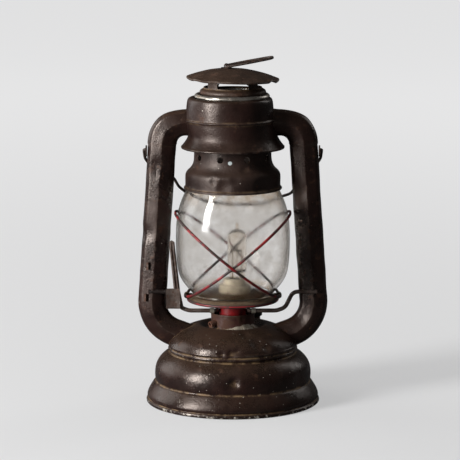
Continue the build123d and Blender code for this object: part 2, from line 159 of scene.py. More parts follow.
def makeRelief():
    # beaten sheet, orange peel and pits, as one height
    tree, given, made = shaderGroup("sheetRelief", [("Dimples", 0.5), ("Peel", 0.3), ("Pits", 0.4)],
                                    ["Height"])
    place = objectPlace(tree)
    total = 0.0
    for label, scale, detail in (("Dimples", 75.0, 2.0), ("Peel", 900.0, 3.0)):
        cloud = addNode(tree, "ShaderNodeTexNoise", {"Vector": place, "Scale": scale, "Detail": detail})
        total = calc(tree, "ADD", total, times(tree, cloud.outputs[0], given[label]))
    pits = addNode(tree, "ShaderNodeTexVoronoi", {"Vector": place, "Scale": 520.0}).outputs["Distance"]
    dug = times(tree, spread(tree, pits, 0.34, 0.08), given["Pits"])
    tree.links.new(calc(tree, "SUBTRACT", total, dug), made["Height"])
    return tree


patches, specks, seams, relief = makePatches(), makeSpecks(), makeSeams(), makeRelief()


def blotches(tree, scale, cover, softness, seed):
    return useGroup(tree, patches, Scale=scale, Cover=cover, Softness=softness, Seed=seed)[0]


def along(tree, axis="Z"):
    return addNode(tree, "ShaderNodeSeparateXYZ", {"Vector": objectPlace(tree)}).outputs[axis]


def awayFrom(tree, spot):
    away = addNode(tree, "ShaderNodeVectorMath", operation="DISTANCE")
    tree.links.new(objectPlace(tree), away.inputs[0])
    away.inputs[1].default_value = spot
    return away.outputs["Value"]


def emboss(tree, shader, high, depth, strength=1.0):
    bump = addNode(tree, "ShaderNodeBump", {"Strength": strength, "Distance": depth, "Height": high})
    tree.links.new(bump.outputs["Normal"], shader.inputs["Normal"])


def startMaterial(name):
    material = bpy.data.materials.new(name)
    material.use_nodes = True
    tree = material.node_tree
    return material, tree, tree.nodes["Principled BSDF"]


def paintedSteel(name, look):
    # old stoving enamel: brown blotches, rust, dirt in the seams, dust on top, lighter bare metal on edges
    # that also serves as a painted highlight along the creases
    material, tree, shader = startMaterial(name)
    tone = blotches(tree, look["toneScale"], 0.5, 0.16, look["seed"])
    rust = blotches(tree, 150.0, look["rust"], 0.05, look["seed"] + 3)
    haze = blotches(tree, 34.0, look["haze"], 0.14, look["seed"] + 7)
    worn = useGroup(tree, seams, Dirt=look["dirt"], Wear=look["wearAndGlint"], Scale=170.0)
    flecks = useGroup(tree, specks, Scale=look["fleckScale"], Size=0.16, Share=look["flecks"])[0]
    top = addNode(tree, "ShaderNodeAttribute", attribute_name="top").outputs["Fac"]
    grain = blotches(tree, 1100.0, 0.55, 0.26, look["seed"] + 11)
    dust = times(tree, times(tree, top, look["dust"]), grain)
    colour = blendColour(tree, tone, look["dark"], look["brown"])
    colour = blendColour(tree, times(tree, haze, 0.45), colour, look["grey"])
    colour = blendColour(tree, times(tree, rust, 0.75), colour, look["rustTone"])
    # painted highlight along the creases: the lighter edge colour is worn metal and also stands in for the
    # glint on the crease lines
    colour = blendColour(tree, worn["Wear"], colour, look["bareAndGlintTone"])
    colour = blendColour(tree, dust, colour, look["dustTone"])
    colour = blendColour(tree, worn["Dirt"], colour, look["dirtTone"])
    colour = blendColour(tree, flecks, colour, look["fleckTone"])
    if "darkerAndFlakedBelow" in look:
        # darker towards the bottom rim, with pale flakes there
        height = along(tree)
        flaked = blotches(tree, 330.0, 0.34, 0.03, look["seed"] + 17)
        low = spread(tree, height, look["darkerAndFlakedBelow"], look["darkerAndFlakedBelow"] * 0.6)
        colour = blendColour(tree, times(tree, low, 0.6), colour, look["dark"])
        colour = blendColour(tree, times(tree, low, flaked), colour, look["flakeTone"])
    if "spot" in look:
        drop = spread(tree, awayFrom(tree, look["spot"]), look["spotSize"], look["spotSize"] * 0.85)
        colour = blendColour(tree, drop, colour, look["spotTone"])
    tree.links.new(colour, shader.inputs["Base Color"])
    dull = times(tree, calc(tree, "ADD", rust, worn["Dirt"]), 0.30)
    rough = calc(tree, "ADD", spread(tree, tone, 0.0, 1.0, look["gloss"], look["gloss"] + 0.12), dull)
    rough = calc(tree, "ADD", rough, times(tree, dust, 0.4), clamp=True)
    tree.links.new(rough, shader.inputs["Roughness"])
    tree.links.new(times(tree, worn["Wear"], 0.6), shader.inputs["Metallic"])
    shader.inputs["Specular Tint"].default_value = (*look["sheen"], 1.0)
    high = useGroup(tree, relief, Dimples=look["dimples"], Peel=0.10, Pits=0.06)[0]
    high = calc(tree, "ADD", high, times(tree, rust, 0.05))
    emboss(tree, shader, high, 0.001)
    return material


def bareMetal(name, look):
    # metal that never had paint or has lost it, stained and scratched
    material, tree, shader = startMaterial(name)
    tone = blotches(tree, look["scale"], 0.5, 0.14, look["seed"])
    stain = blotches(tree, look["scale"] * 2.2, look["stained"], 0.07, look["seed"] + 2)
    worn = useGroup(tree, seams, Dirt=look["dirt"], Wear=0.6, Scale=260.0)
    colour = blendColour(tree, tone, look["light"], look["dark"])
    colour = blendColour(tree, stain, colour, look["stain"])
    colour = blendColour(tree, worn["Dirt"], colour, look["stain"])
    colour = blendColour(tree, times(tree, worn["Wear"], 0.7), colour, look["light"])
    if "darkEndTone" in look:
        # where a look gives it (the left arm), the end past the thumb plate is painted near black: darker
        # below x = -45.5 mm, fully so below -46.5 mm
        side = along(tree, "X")
        colour = blendColour(tree, spread(tree, side, -0.0455, -0.0465), colour, look["darkEndTone"])
    tree.links.new(colour, shader.inputs["Base Color"])
    metal = spread(tree, stain, 0.0, 1.0, look["metal"], look["metal"] * 0.25)
    tree.links.new(metal, shader.inputs["Metallic"])
    rough = calc(tree, "ADD", times(tree, stain, 0.35), look["rough"], clamp=True)
    tree.links.new(rough, shader.inputs["Roughness"])
    high = useGroup(tree, relief, Dimples=0.25, Peel=0.12, Pits=look["pits"])[0]
    emboss(tree, shader, high, 0.0008)
    return material


def redPaint(name, look):
    # thin red paint brushed over dark steel, rubbed through in places
    material, tree, shader = startMaterial(name)
    tone = blotches(tree, 90.0, 0.5, 0.16, look["seed"])
    gone = blotches(tree, look["scale"], look["gone"], 0.04, look["seed"] + 5)
    worn = useGroup(tree, seams, Dirt=0.5, Wear=0.4, Scale=220.0)
    if "band" in look:
        height = along(tree)
        low, high = look["band"]
        inside = times(tree, spread(tree, height, low - 0.0002, low),
                      spread(tree, height, high + 0.0002, high))
        gone = calc(tree, "MAXIMUM", gone, calc(tree, "SUBTRACT", 1.0, inside))
    colour = blendColour(tree, tone, look["red"], look["deep"])
    colour = blendColour(tree, gone, colour, look["steel"])
    colour = blendColour(tree, worn["Dirt"], colour, look["dirtTone"])
    tree.links.new(colour, shader.inputs["Base Color"])
    tree.links.new(spread(tree, gone, 0.0, 1.0, 0.42, 0.55), shader.inputs["Roughness"])
    high = useGroup(tree, relief, Dimples=0.15, Peel=0.14, Pits=0.05)[0]
    high = calc(tree, "SUBTRACT", high, times(tree, gone, 0.06))
    emboss(tree, shader, high, 0.0008)
    return material


def dullSolid(name, look):
    # moulded or fired body with soft mottling: ceramic, rubber, plastic, dried dirt
    material, tree, shader = startMaterial(name)
    tone = blotches(tree, look["scale"], 0.5, 0.18, look["seed"])
    grime = blotches(tree, look["scale"] * 3, look["grime"], 0.08, look["seed"] + 4)
    worn = useGroup(tree, seams, Dirt=0.7, Wear=0.0, Scale=260.0)
    colour = blendColour(tree, tone, look["light"], look["dark"])
    colour = blendColour(tree, calc(tree, "MAXIMUM", grime, worn["Dirt"]), colour, look["grimeTone"])
    tree.links.new(colour, shader.inputs["Base Color"])
    tree.links.new(spread(tree, grime, 0.0, 1.0, look["rough"], look["rough"] + 0.25),
                   shader.inputs["Roughness"])
    high = useGroup(tree, relief, Dimples=0.1, Peel=look["peel"], Pits=0.05)[0]
    emboss(tree, shader, high, 0.0006)
    return material


def oldGlass(name, look):
    # clear blown glass with a film of soot and amber lamp-oil stains near its rims, and painted shade that
    # darkens it towards its outline
    material, tree, shader = startMaterial(name)
    film = blotches(tree, 55.0, look["film"], 0.08, look["seed"])
    spots = useGroup(tree, specks, Scale=420.0, Size=0.22, Share=0.10)[0]
    height = along(tree)
    streak = blotches(tree, 130.0, 0.55, 0.12, look["seed"] + 5)
    shoulder = times(tree, spread(tree, height, look["amberLow"], look["amberHigh"]), streak)
    foot = times(tree, spread(tree, height, look["sootHigh"], look["sootLow"]), streak)
    colour = blendColour(tree, times(tree, film, look["filmShare"]), look["clear"],
                         look["filmTone"])
    colour = blendColour(tree, times(tree, calc(tree, "MAXIMUM", shoulder, foot), 0.8), colour,
                         look["amber"])
    colour = blendColour(tree, times(tree, spots, 0.5), colour, look["amber"])
    smudge = blotches(tree, 150.0, 0.33, 0.13, look["seed"] + 9)
    colour = blendColour(tree, times(tree, smudge, look["smudge"]), colour, look["smudgeAndEdgeShadeTone"])
    # painted shade: the glass darkens towards its outline, where it turns away from the view, blended to the
    # same colour as the smudges
    facing = addNode(tree, "ShaderNodeLayerWeight", {"Blend": 0.5}).outputs["Facing"]
    paintedEdgeShade = times(tree, spread(tree, facing, look["edgeFrom"], 1.0), look["edgeShadeShare"])
    colour = blendColour(tree, paintedEdgeShade, colour, look["smudgeAndEdgeShadeTone"])
    tree.links.new(colour, shader.inputs["Base Color"])
    misty = calc(tree, "ADD", times(tree, film, look["mist"]), look["rough"])
    tree.links.new(misty, shader.inputs["Roughness"])
    shader.inputs["Transmission Weight"].default_value = 1.0
    shader.inputs["IOR"].default_value = look["bend"]
    ripple = addNode(tree, "ShaderNodeTexNoise", {"Vector": objectPlace(tree), "Scale": 28.0, "Detail": 1.0})
    emboss(tree, shader, ripple.outputs[0], 0.0012, 0.35)
    return material


enamel = {
    "seed": 1.0, "toneScale": 42.0, "rust": 0.16, "haze": 0.30, "dirt": 0.7, "wearAndGlint": 0.40, "flecks": 0.02,
    "fleckScale": 300.0, "dust": 0.30, "gloss": 0.27, "dimples": 0.40,
    "dark": (0.0105, 0.0055, 0.0050), "brown": (0.025, 0.0100, 0.0078), "grey": (0.042, 0.027, 0.022),
    "rustTone": (0.062, 0.025, 0.013), "bareAndGlintTone": (0.17, 0.13, 0.105), "dustTone": (0.120, 0.076, 0.044),
    "dirtTone": (0.20, 0.128, 0.064), "fleckTone": (0.50, 0.45, 0.39), "flakeTone": (0.42, 0.38, 0.33),
    "sheen": (1.0, 0.86, 0.78),
}
tankPaint = paintedSteel("tankEnamel", {**enamel, "seed": 4.0, "dust": 0.42, "flecks": 0.11, "dirt": 0.9,
                                        "fleckScale": 430.0, "gloss": 0.19, "darkerAndFlakedBelow": 0.0028})
drumPaint = paintedSteel("drumEnamel", {**enamel, "seed": 9.0, "haze": 0.36, "dirt": 0.35, "flecks": 0.04,
                                        "fleckScale": 380.0})
bellPaint = paintedSteel("bellEnamel", {**enamel, "seed": 15.0, "haze": 0.55, "gloss": 0.38,
                                        "dirt": 0.4, "flecks": 0.05,
                                        "fleckScale": 400.0,
                                        "spot": (-0.0020, -0.0272, 0.1738), "spotSize": 0.0015,
                                        "spotTone": (0.52, 0.58, 0.58)})
capPaint = paintedSteel("capEnamel", {**enamel, "seed": 21.0, "rust": 0.34, "dust": 0.30, "wearAndGlint": 0.6,
                                      "gloss": 0.36, "brown": (0.050, 0.026, 0.017),
                                      "dark": (0.024, 0.013, 0.010)})
tubePaint = paintedSteel("tubeEnamel", {**enamel, "seed": 27.0, "rust": 0.24, "haze": 0.28, "wearAndGlint": 0.65,
                                        "gloss": 0.24, "dust": 0.42})
collarPaint = paintedSteel("collarEnamel", {**enamel, "seed": 33.0, "rust": 0.5, "haze": 0.2, "gloss": 0.42,
                                            "dark": (0.028, 0.009, 0.007), "brown": (0.055, 0.017, 0.013)})
platePaint = paintedSteel("plateTin", {**enamel, "seed": 39.0, "rust": 0.35, "haze": 0.6, "gloss": 0.4,
                                       "dark": (0.085, 0.055, 0.034), "brown": (0.175, 0.118, 0.070),
                                       "grey": (0.20, 0.145, 0.095), "dust": 0.20})
rust = {"seed": 2.0, "scale": 160.0, "stained": 0.42, "dirt": 0.6, "metal": 0.35, "rough": 0.42, "pits": 0.16,
        "light": (0.15, 0.115, 0.098), "dark": (0.075, 0.052, 0.043), "stain": (0.070, 0.036, 0.024)}
wireSteel = bareMetal("handledWire", rust)
leftArmSteel = bareMetal("leftArmWire", {**rust, "darkEndTone": (0.022, 0.014, 0.012)})
bailSteel = bareMetal("bailWire", {**rust, "seed": 5.0, "rough": 0.56, "metal": 0.2,
                                   "light": (0.075, 0.058, 0.050),
                                   "dark": (0.036, 0.027, 0.023)})
rustySteel = bareMetal("rustySteel", {**rust, "seed": 8.0, "stained": 0.62, "stain": (0.080, 0.034, 0.018)})
ringSteel = bareMetal("ringSteel", {**rust, "seed": 31.0, "light": (0.075, 0.056, 0.048),
                                    "dark": (0.030, 0.021, 0.018), "stain": (0.055, 0.026, 0.015)})
glandRust = bareMetal("glandRust", {**rust, "seed": 35.0, "metal": 0.2, "light": (0.22, 0.115, 0.08),
                                    "dark": (0.085, 0.040, 0.028), "stain": (0.13, 0.045, 0.02)})
darkIron = bareMetal("darkIron", {**rust, "seed": 12.0, "light": (0.04, 0.036, 0.034),
                                  "dark": (0.016, 0.014, 0.014), "stain": (0.03, 0.018, 0.013)})
tin = {**rust, "seed": 17.0, "scale": 90.0, "stained": 0.40, "metal": 0.85, "rough": 0.34, "pits": 0.10,
       "light": (0.52, 0.49, 0.44), "dark": (0.30, 0.27, 0.235), "stain": (0.17, 0.12, 0.075)}
bareTin = bareMetal("bareTin", {**tin, "stained": 0.28, "light": (0.64, 0.60, 0.54),
                                "dark": (0.38, 0.34, 0.29)})
paleClip = bareMetal("paleClip", {**tin, "metal": 0.5, "light": (0.62, 0.58, 0.50),
                                  "dark": (0.42, 0.38, 0.31), "stained": 0.3})
tanTab = bareMetal("tanTab", {**tin, "metal": 0.5, "light": (0.13, 0.095, 0.060),
                              "dark": (0.06, 0.042, 0.028)})
solderGrey = bareMetal("oldSolder", {**tin, "seed": 23.0, "metal": 0.25, "rough": 0.55, "stained": 0.35,
                                     "pits": 0.3, "light": (0.44, 0.39, 0.31), "dark": (0.27, 0.225, 0.17),
                                     "stain": (0.15, 0.105, 0.060)})
contactMetal = bareMetal("contactBrass", {**tin, "light": (0.62, 0.45, 0.20), "dark": (0.40, 0.28, 0.12)})
filamentMetal = bareMetal("filamentMetal", {**tin, "rough": 0.3, "light": (0.42, 0.37, 0.30),
                                            "dark": (0.24, 0.20, 0.16)})
crimson = {"seed": 3.0, "scale": 110.0, "gone": 0.50,
           "red": (0.38, 0.014, 0.018), "deep": (0.10, 0.010, 0.012),
           "steel": (0.045, 0.027, 0.023), "dirtTone": (0.10, 0.045, 0.03)}
hubRed = redPaint("hubRed", {**crimson, "gone": 0.20, "red": (0.38, 0.010, 0.013)})
guardRed = redPaint("guardRed", {**crimson, "seed": 8.0})
rimRed = redPaint("rimRed", {**crimson, "gone": 0.42, "seed": 13.0, "band": (0.0731, 0.0738),
                             "red": (0.40, 0.020, 0.026), "steel": (0.040, 0.030, 0.025)})
ceramicCream = dullSolid("creamCeramic", {
    "seed": 6.0, "scale": 120.0, "grime": 0.22, "rough": 0.34, "peel": 0.05, "light": (0.93, 0.84, 0.65),
    "dark": (0.82, 0.71, 0.52), "grimeTone": (0.42, 0.32, 0.20)})
leadRubber = dullSolid("leadRubber", {
    "seed": 7.0, "scale": 200.0, "grime": 0.3, "rough": 0.5, "peel": 0.1, "light": (0.05, 0.045, 0.04),
    "dark": (0.025, 0.022, 0.02), "grimeTone": (0.09, 0.075, 0.06)})
blockPlastic = dullSolid("blockPlastic", {
    "seed": 11.0, "scale": 160.0, "grime": 0.3, "rough": 0.4, "peel": 0.08, "light": (0.62, 0.58, 0.48),
    "dark": (0.50, 0.45, 0.36), "grimeTone": (0.26, 0.21, 0.15)})
globeClear = oldGlass("globeGlass", {
    "seed": 2.0, "film": 0.62, "filmShare": 0.8, "mist": 0.12, "rough": 0.03, "bend": 1.42,
    "clear": (0.968, 0.962, 0.955), "filmTone": (0.850, 0.830, 0.805), "amber": (0.62, 0.47, 0.32),
    "smudge": 0.30, "edgeFrom": 0.35, "edgeShadeShare": 0.62, "smudgeAndEdgeShadeTone": (0.52, 0.44, 0.36),
    "amberLow": 0.139, "amberHigh": 0.153, "sootLow": 0.0775, "sootHigh": 0.084})
lampClear = oldGlass("lampGlass", {
    "seed": 9.0, "film": 0.5, "filmShare": 0.6, "mist": 0.06, "rough": 0.03, "bend": 1.12,
    "clear": (0.97, 0.945, 0.915), "filmTone": (0.92, 0.87, 0.81), "amber": (0.80, 0.62, 0.46),
    "smudge": 0.15, "edgeFrom": 0.5, "edgeShadeShare": 0.4, "smudgeAndEdgeShadeTone": (0.70, 0.62, 0.54),
    "amberLow": 0.1215, "amberHigh": 0.1245, "sootLow": 0.088, "sootHigh": 0.094})
print("finishes made:", len(bpy.data.materials))


# shapes

def softened(points):
    # cuts the corners of a line twice, keeping its ends
    for _ in range(2):
        cut = [points[0]]
        for here, there in zip(points, points[1:]):
            for share in (0.25, 0.75):
                cut.append(tuple(a + (b - a) * share for a, b in zip(here, there)))
        points = cut + [points[-1]]
    return points


def throughPoints(points, steps):
    # a smooth line through every point
    ends = [points[0]] + list(points) + [points[-1]]
    line = []
    for a, b, c, d in zip(ends, ends[1:], ends[2:], ends[3:]):
        for step in range(steps):
            t = step / steps
            line.append(tuple(0.5 * (2 * q + (r - p) * t + (2 * p - 5 * q + 4 * r - s) * t * t
                                     + (3 * q - p - 3 * r + s) * t ** 3)
                              for p, q, r, s in zip(a, b, c, d)))
    return line + [points[-1]]


def sheetLoop(line, wall):
    # the loop round a sheet whose outside is the line, going up and in
    inside = []
    for index, (radius, height) in enumerate(line):
        before, after = line[max(index - 1, 0)], line[min(index + 1, len(line) - 1)]
        along = Vector((after[0] - before[0], after[1] - before[1])).normalized()
        inside.append((radius - along.y * wall, height + along.x * wall))
    return line + inside[::-1]


def arcStep(start, corner, end, t):
    return start * (1 - t) ** 2 + corner * 2 * t * (1 - t) + end * t * t


def filletPath(points, radii):
    # runs and arcs through the points
    line = [Vector(points[0])]
    for corner, radius in zip(range(1, len(points) - 1), radii):
        before, here, after = (Vector(points[corner + step]) for step in (-1, 0, 1))
        back, ahead = (before - here).normalized(), (after - here).normalized()
        bend = math.pi - back.angle(ahead)
        reach = min(radius * math.tan(bend / 2), (before - here).length * 0.5, (after - here).length * 0.5)
        start, end = here + back * reach, here + ahead * reach
        steps = max(2, round(math.degrees(bend) / 9))
        line += [arcStep(start, here, end, step / steps) for step in range(steps + 1)]
    return line + [Vector(points[-1])]


def battered(point, look):
    # uneven sheet with dents: each dent is (place, reach, push), each lean is (low, high, push)
    place = Vector(point)
    radius = math.hypot(place.x, place.y)
    if radius > 1e-6:
        swell = look.get("uneven", 0.0) * noise.noise(place * look.get("grain", 0.06))
        place.x += place.x / radius * swell
        place.y += place.y / radius * swell
    for spot, reach, push in look.get("dents", ()):
        away = (Vector(point) - Vector(spot)).length
        if away < reach:
            place += Vector(push) * (1 - (away / reach) ** 2) ** 2
    for low, high, push in look.get("leans", ()):
        share = min(max((point[2] - low) / (high - low), 0.0), 1.0)
        place += Vector(push) * share * share * (3 - 2 * share)
    return place


creaseMarks = {"passes": 2, "hollowFrom": 25, "hollowSpan": 120, "edgeFrom": 60, "edgeSpan": 220,
               "topPower": 1.5}


def markCreases(mesh):
    # marks edges, hollows and the sides that look up, for the finishes to read
    build = bmesh.new()
    build.from_mesh(mesh)
    build.normal_update()
    bends = []
    for point in build.verts:
        total = 0.0
        for side in point.link_edges:
            step = side.other_vert(point).co - point.co
            total += point.normal.dot(step) / max(step.length_squared, 1e-10)
        bends.append(total / max(len(point.link_edges), 1))
    build.verts.ensure_lookup_table()
    for _ in range(creaseMarks["passes"]):
        bends = [0.4 * bends[point.index]
                 + 0.6 * sum(bends[side.other_vert(point).index] for side in point.link_edges)
                 / max(len(point.link_edges), 1) for point in build.verts]
    look = creaseMarks
    hollows = [(bend - look["hollowFrom"]) / look["hollowSpan"] for bend in bends]
    edges = [(-bend - look["edgeFrom"]) / look["edgeSpan"] for bend in bends]
    marks = {"hollow": [min(max(share, 0.0), 1.0) for share in hollows],
             "edge": [min(max(share, 0.0), 1.0) for share in edges],
             "top": [max(point.normal.z, 0.0) ** look["topPower"] for point in build.verts]}
    build.free()
    for name, values in marks.items():
        mesh.attributes.new(name, "FLOAT", "POINT").data.foreach_set("value", values)


def linked(name, data):
    thing = bpy.data.objects.new(name, data)
    bpy.context.scene.collection.objects.link(thing)
    return thing


def settle(name, mesh, body, material, stands=(), sharp=38.0):
    # one finished piece: material, shading, marks, body and the nodes it stands for
    piece = linked(name, mesh)
    mesh.materials.clear()
    mesh.materials.append(material)
    mesh.shade_smooth()
    mesh.set_sharp_from_angle(angle=math.radians(sharp))
    markCreases(mesh)
    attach(piece, body)
    if stands:
        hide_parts(*stands)
        low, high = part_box(stands[0])
        reach = [v.co for v in mesh.vertices]
        gap = max(max(low[i] - min(p[i] for p in reach), max(p[i] for p in reach) - high[i])
                  for i in range(3))
        print(f"{name}: {len(mesh.polygons)} faces, {gap * 1000:+.2f} mm past its node")
    return piece


def meshOf(name, build, look=None):
    if look:
        for point in build.verts:
            point.co = battered(point.co, look)
    for point in build.verts:
        point.co *= toMetres
    mesh = bpy.data.meshes.new(name)
    build.to_mesh(mesh)
    build.free()
    return mesh


def lathe(line, turns=160, centre=(0.0, 0.0)):
    # turns a line about the upright axis; off the axis it is a closed loop
    build = bmesh.new()
    rings = []
    for radius, height in line:
        count = 1 if radius < 1e-6 else turns
        rings.append([build.verts.new((centre[0] + radius * math.cos(2 * math.pi * k / turns),
                                       centre[1] + radius * math.sin(2 * math.pi * k / turns), height))
                      for k in range(count)])
    if line[0][0] > 1e-6:
        rings.append(rings[0])
    for low, high in zip(rings, rings[1:]):
        for k in range(turns):
            corners = []
            for ring, step in ((low, k), (low, k + 1), (high, k + 1), (high, k)):
                if ring[step % len(ring)] not in corners:
                    corners.append(ring[step % len(ring)])
            if len(corners) > 2:
                build.faces.new(corners)
    bmesh.ops.recalc_face_normals(build, faces=build.faces)
    return build


def skinned(rings, looped=False):
    # a skin over rings of places, with the two ends capped unless the rings loop back
    build = bmesh.new()
    rings = [[build.verts.new(place) for place in ring] for ring in rings]
    for low, high in zip(rings, rings[1:] + rings[:1] if looped else rings[1:]):
        for k in range(len(low)):
            n = (k + 1) % len(low)
            build.faces.new((low[k], low[n], high[n], high[k]))
    if not looped:
        build.faces.new(rings[0])
        build.faces.new(rings[-1])
    bmesh.ops.recalc_face_normals(build, faces=build.faces)
    return build


def turned(name, look, material, stands=()):
    line = softened(look["line"])
    if "wall" in look:
        line = sheetLoop(line, look["wall"])
    mesh = meshOf(name, lathe(line, look.get("turns", 160)), look)
    return settle(name, mesh, look["body"], material, stands)


def sweepDuct(points, section):
    # a closed duct along a line in the X-Z plane; the section is (out of that plane, across it)
    rings = []
    for index, (x, z) in enumerate(points):
        before, after = points[max(index - 1, 0)], points[min(index + 1, len(points) - 1)]
        along = Vector((after[0] - before[0], after[1] - before[1])).normalized()
        rings.append([(x + along.y * across, out, z - along.x * across) for out, across in section])
    return skinned(rings)


# geometry nodes

socketKinds = {float: "Float", int: "Int", bool: "Bool", tuple: "Vector", type(None): "Material"}


def geometryTree(name, **given):
    tree = bpy.data.node_groups.new(name, "GeometryNodeTree")
    tree.interface.new_socket("Geometry", in_out="INPUT", socket_type="NodeSocketGeometry")
    for label, value in given.items():
        kind = "NodeSocket" + socketKinds[type(value)]
        socket = tree.interface.new_socket(label, in_out="INPUT", socket_type=kind)
        if value is not None:
            socket.default_value = value
    tree.interface.new_socket("Geometry", in_out="OUTPUT", socket_type="NodeSocketGeometry")
    return tree, tree.nodes.new("NodeGroupInput").outputs, tree.nodes.new("NodeGroupOutput").inputs


def chain(tree, geometry, kind, values=None, **settings):
    node = addNode(tree, kind, values, **settings)
    feed(tree, node.inputs[0], geometry)
    return node.outputs[0]


def grown(name, tree, values, start=None):
    # runs a tree on a start mesh and returns the plain result
    holder = linked(name + "Holder", start or bpy.data.meshes.new(name + "Start"))
    modifier = holder.modifiers.new(tree.name, "NODES")
    modifier.node_group = tree
    for socket in tree.interface.items_tree:
        if socket.item_type == "SOCKET" and socket.in_out == "INPUT" and socket.name in values:
            modifier[socket.identifier] = values[socket.name]
    graph = bpy.context.evaluated_depsgraph_get()
    mesh = bpy.data.meshes.new_from_object(holder.evaluated_get(graph))
    mesh.name = name
    bpy.data.objects.remove(holder)
    return mesh


def makeWireTree():
    # a hand-bent wire along the start mesh's line, a little uneven in thickness
    tree, given, made = geometryTree("bentWire", Thickness=0.001, Spacing=0.001, Unevenness=0.06,
                                     Sides=14, Finish=None)
    line = chain(tree, given["Geometry"], "GeometryNodeMeshToCurve")
    line = chain(tree, line, "GeometryNodeResampleCurve", {"Length": given["Spacing"]}, mode="LENGTH")
    cloud = addNode(tree, "ShaderNodeTexNoise", {"Scale": 240.0, "Detail": 2.0}).outputs[0]
    swing = times(tree, calc(tree, "SUBTRACT", cloud, 0.5), given["Unevenness"])
    width = calc(tree, "SUBTRACT", calc(tree, "ADD", 1.0, swing),
                 times(tree, given["Unevenness"], 0.5))
    line = chain(tree, line, "GeometryNodeSetCurveRadius", {"Radius": width})
    ring = addNode(tree, "GeometryNodeCurvePrimitiveCircle",
                   {"Resolution": given["Sides"], "Radius": given["Thickness"]}, mode="RADIUS").outputs[0]
    wire = chain(tree, line, "GeometryNodeCurveToMesh", {"Profile Curve": ring, "Fill Caps": True})
    wire = chain(tree, wire, "GeometryNodeSetMaterial", {"Material": given["Finish"]})
    tree.links.new(wire, made[0])
    return tree


def makeRingTree():
    # blocks or rods standing in a ring, each facing out
    tree, given, made = geometryTree("standingRing", Count=9, Radius=0.02, Height=0.0,
                                     Size=(0.002, 0.002, 0.002), Rods=False, Turn=0.0, Finish=None)
    circle = addNode(tree, "GeometryNodeMeshCircle",
                     {"Vertices": given["Count"], "Radius": given["Radius"]}).outputs[0]
    lift = addNode(tree, "ShaderNodeCombineXYZ", {"Z": given["Height"]}).outputs[0]
    angle = addNode(tree, "ShaderNodeCombineXYZ", {"Z": given["Turn"]}).outputs[0]
    circle = chain(tree, circle, "GeometryNodeTransform", {"Translation": lift, "Rotation": angle})
    place = addNode(tree, "GeometryNodeInputPosition").outputs[0]
    flat = addNode(tree, "ShaderNodeVectorMath", operation="MULTIPLY")
    tree.links.new(place, flat.inputs[0])
    flat.inputs[1].default_value = (1.0, 1.0, 0.0)
    facing = addNode(tree, "FunctionNodeAlignRotationToVector", {"Vector": flat.outputs[0]}, axis="X",
                     pivot_axis="Z")
    cube = addNode(tree, "GeometryNodeMeshCube", {"Size": (1.0, 1.0, 1.0)}).outputs[0]
    rod = addNode(tree, "GeometryNodeMeshCylinder", {"Vertices": 28, "Radius": 0.5, "Depth": 1.0}).outputs[0]
    rod = chain(tree, rod, "GeometryNodeTransform", {"Rotation": (0.0, math.pi / 2, 0.0)})
    choice = addNode(tree, "GeometryNodeSwitch", {"Switch": given["Rods"]}, input_type="GEOMETRY")
    tree.links.new(cube, choice.inputs["False"])
    tree.links.new(rod, choice.inputs["True"])
    ring = chain(tree, circle, "GeometryNodeInstanceOnPoints",
                 {"Instance": choice.outputs[0], "Rotation": facing.outputs[0], "Scale": given["Size"]})
    ring = chain(tree, ring, "GeometryNodeRealizeInstances")
    ring = chain(tree, ring, "GeometryNodeSetMaterial", {"Material": given["Finish"]})
    tree.links.new(ring, made[0])
    return tree


def makeCoilTree():
    # a close wound coil along Z
    tree, given, made = geometryTree("closeCoil", Turns=10.0, Radius=0.001, Length=0.006,
                                     Thickness=0.0002, Finish=None)
    spiral = addNode(tree, "GeometryNodeCurveSpiral",
                     {"Resolution": 14, "Rotations": given["Turns"], "Start Radius": given["Radius"],
                      "End Radius": given["Radius"], "Height": given["Length"]}).outputs[0]
    ring = addNode(tree, "GeometryNodeCurvePrimitiveCircle",
                   {"Resolution": 6, "Radius": given["Thickness"]}, mode="RADIUS").outputs[0]
    coil = chain(tree, spiral, "GeometryNodeCurveToMesh", {"Profile Curve": ring, "Fill Caps": True})
    coil = chain(tree, coil, "GeometryNodeRealizeInstances")
    coil = chain(tree, coil, "GeometryNodeSetMaterial", {"Material": given["Finish"]})
    tree.links.new(coil, made[0])
    return tree


wireTree, ringTree, coilTree = makeWireTree(), makeRingTree(), makeCoilTree()


def wireMesh(name, points, thickness, material, closed=False, uneven=0.06, sides=14, spacing=0.9):
    start = bpy.data.meshes.new(name + "Line")
    links = [(k, k + 1) for k in range(len(points) - 1)]
    if closed:
        links.append((len(points) - 1, 0))
    start.from_pydata([Vector(p) * toMetres for p in points], links, [])
    return grown(name, wireTree, {"Thickness": thickness * toMetres, "Unevenness": uneven, "Sides": sides,
                                  "Spacing": spacing * toMetres, "Finish": material}, start)


def ringMesh(name, look, kind, **more):
    # the look says, under the kind's name, how many, how far out, how high and how large
    return grown(name, ringTree, {
        "Count": look[kind + "s"], "Radius": look[kind + "Ring"] * toMetres,
        "Height": look[kind + "Height"] * toMetres, "Size": Vector(look[kind + "Size"]) * toMetres, **more})


def joined(name, meshes):
    build = bmesh.new()
    for mesh in meshes:
        build.from_mesh(mesh)
    whole = bpy.data.meshes.new(name)
    build.to_mesh(whole)
    build.free()
    return whole


def boxMesh(name, centre, size, bevel=0.0):
    build = bmesh.new()
    place = Matrix.Translation(centre) @ Matrix.Diagonal((*size, 1.0))
    bmesh.ops.create_cube(build, size=1.0, matrix=place)
    if bevel:
        bmesh.ops.bevel(build, geom=build.edges[:], offset=bevel, segments=2, affect="EDGES")
    return meshOf(name, build)


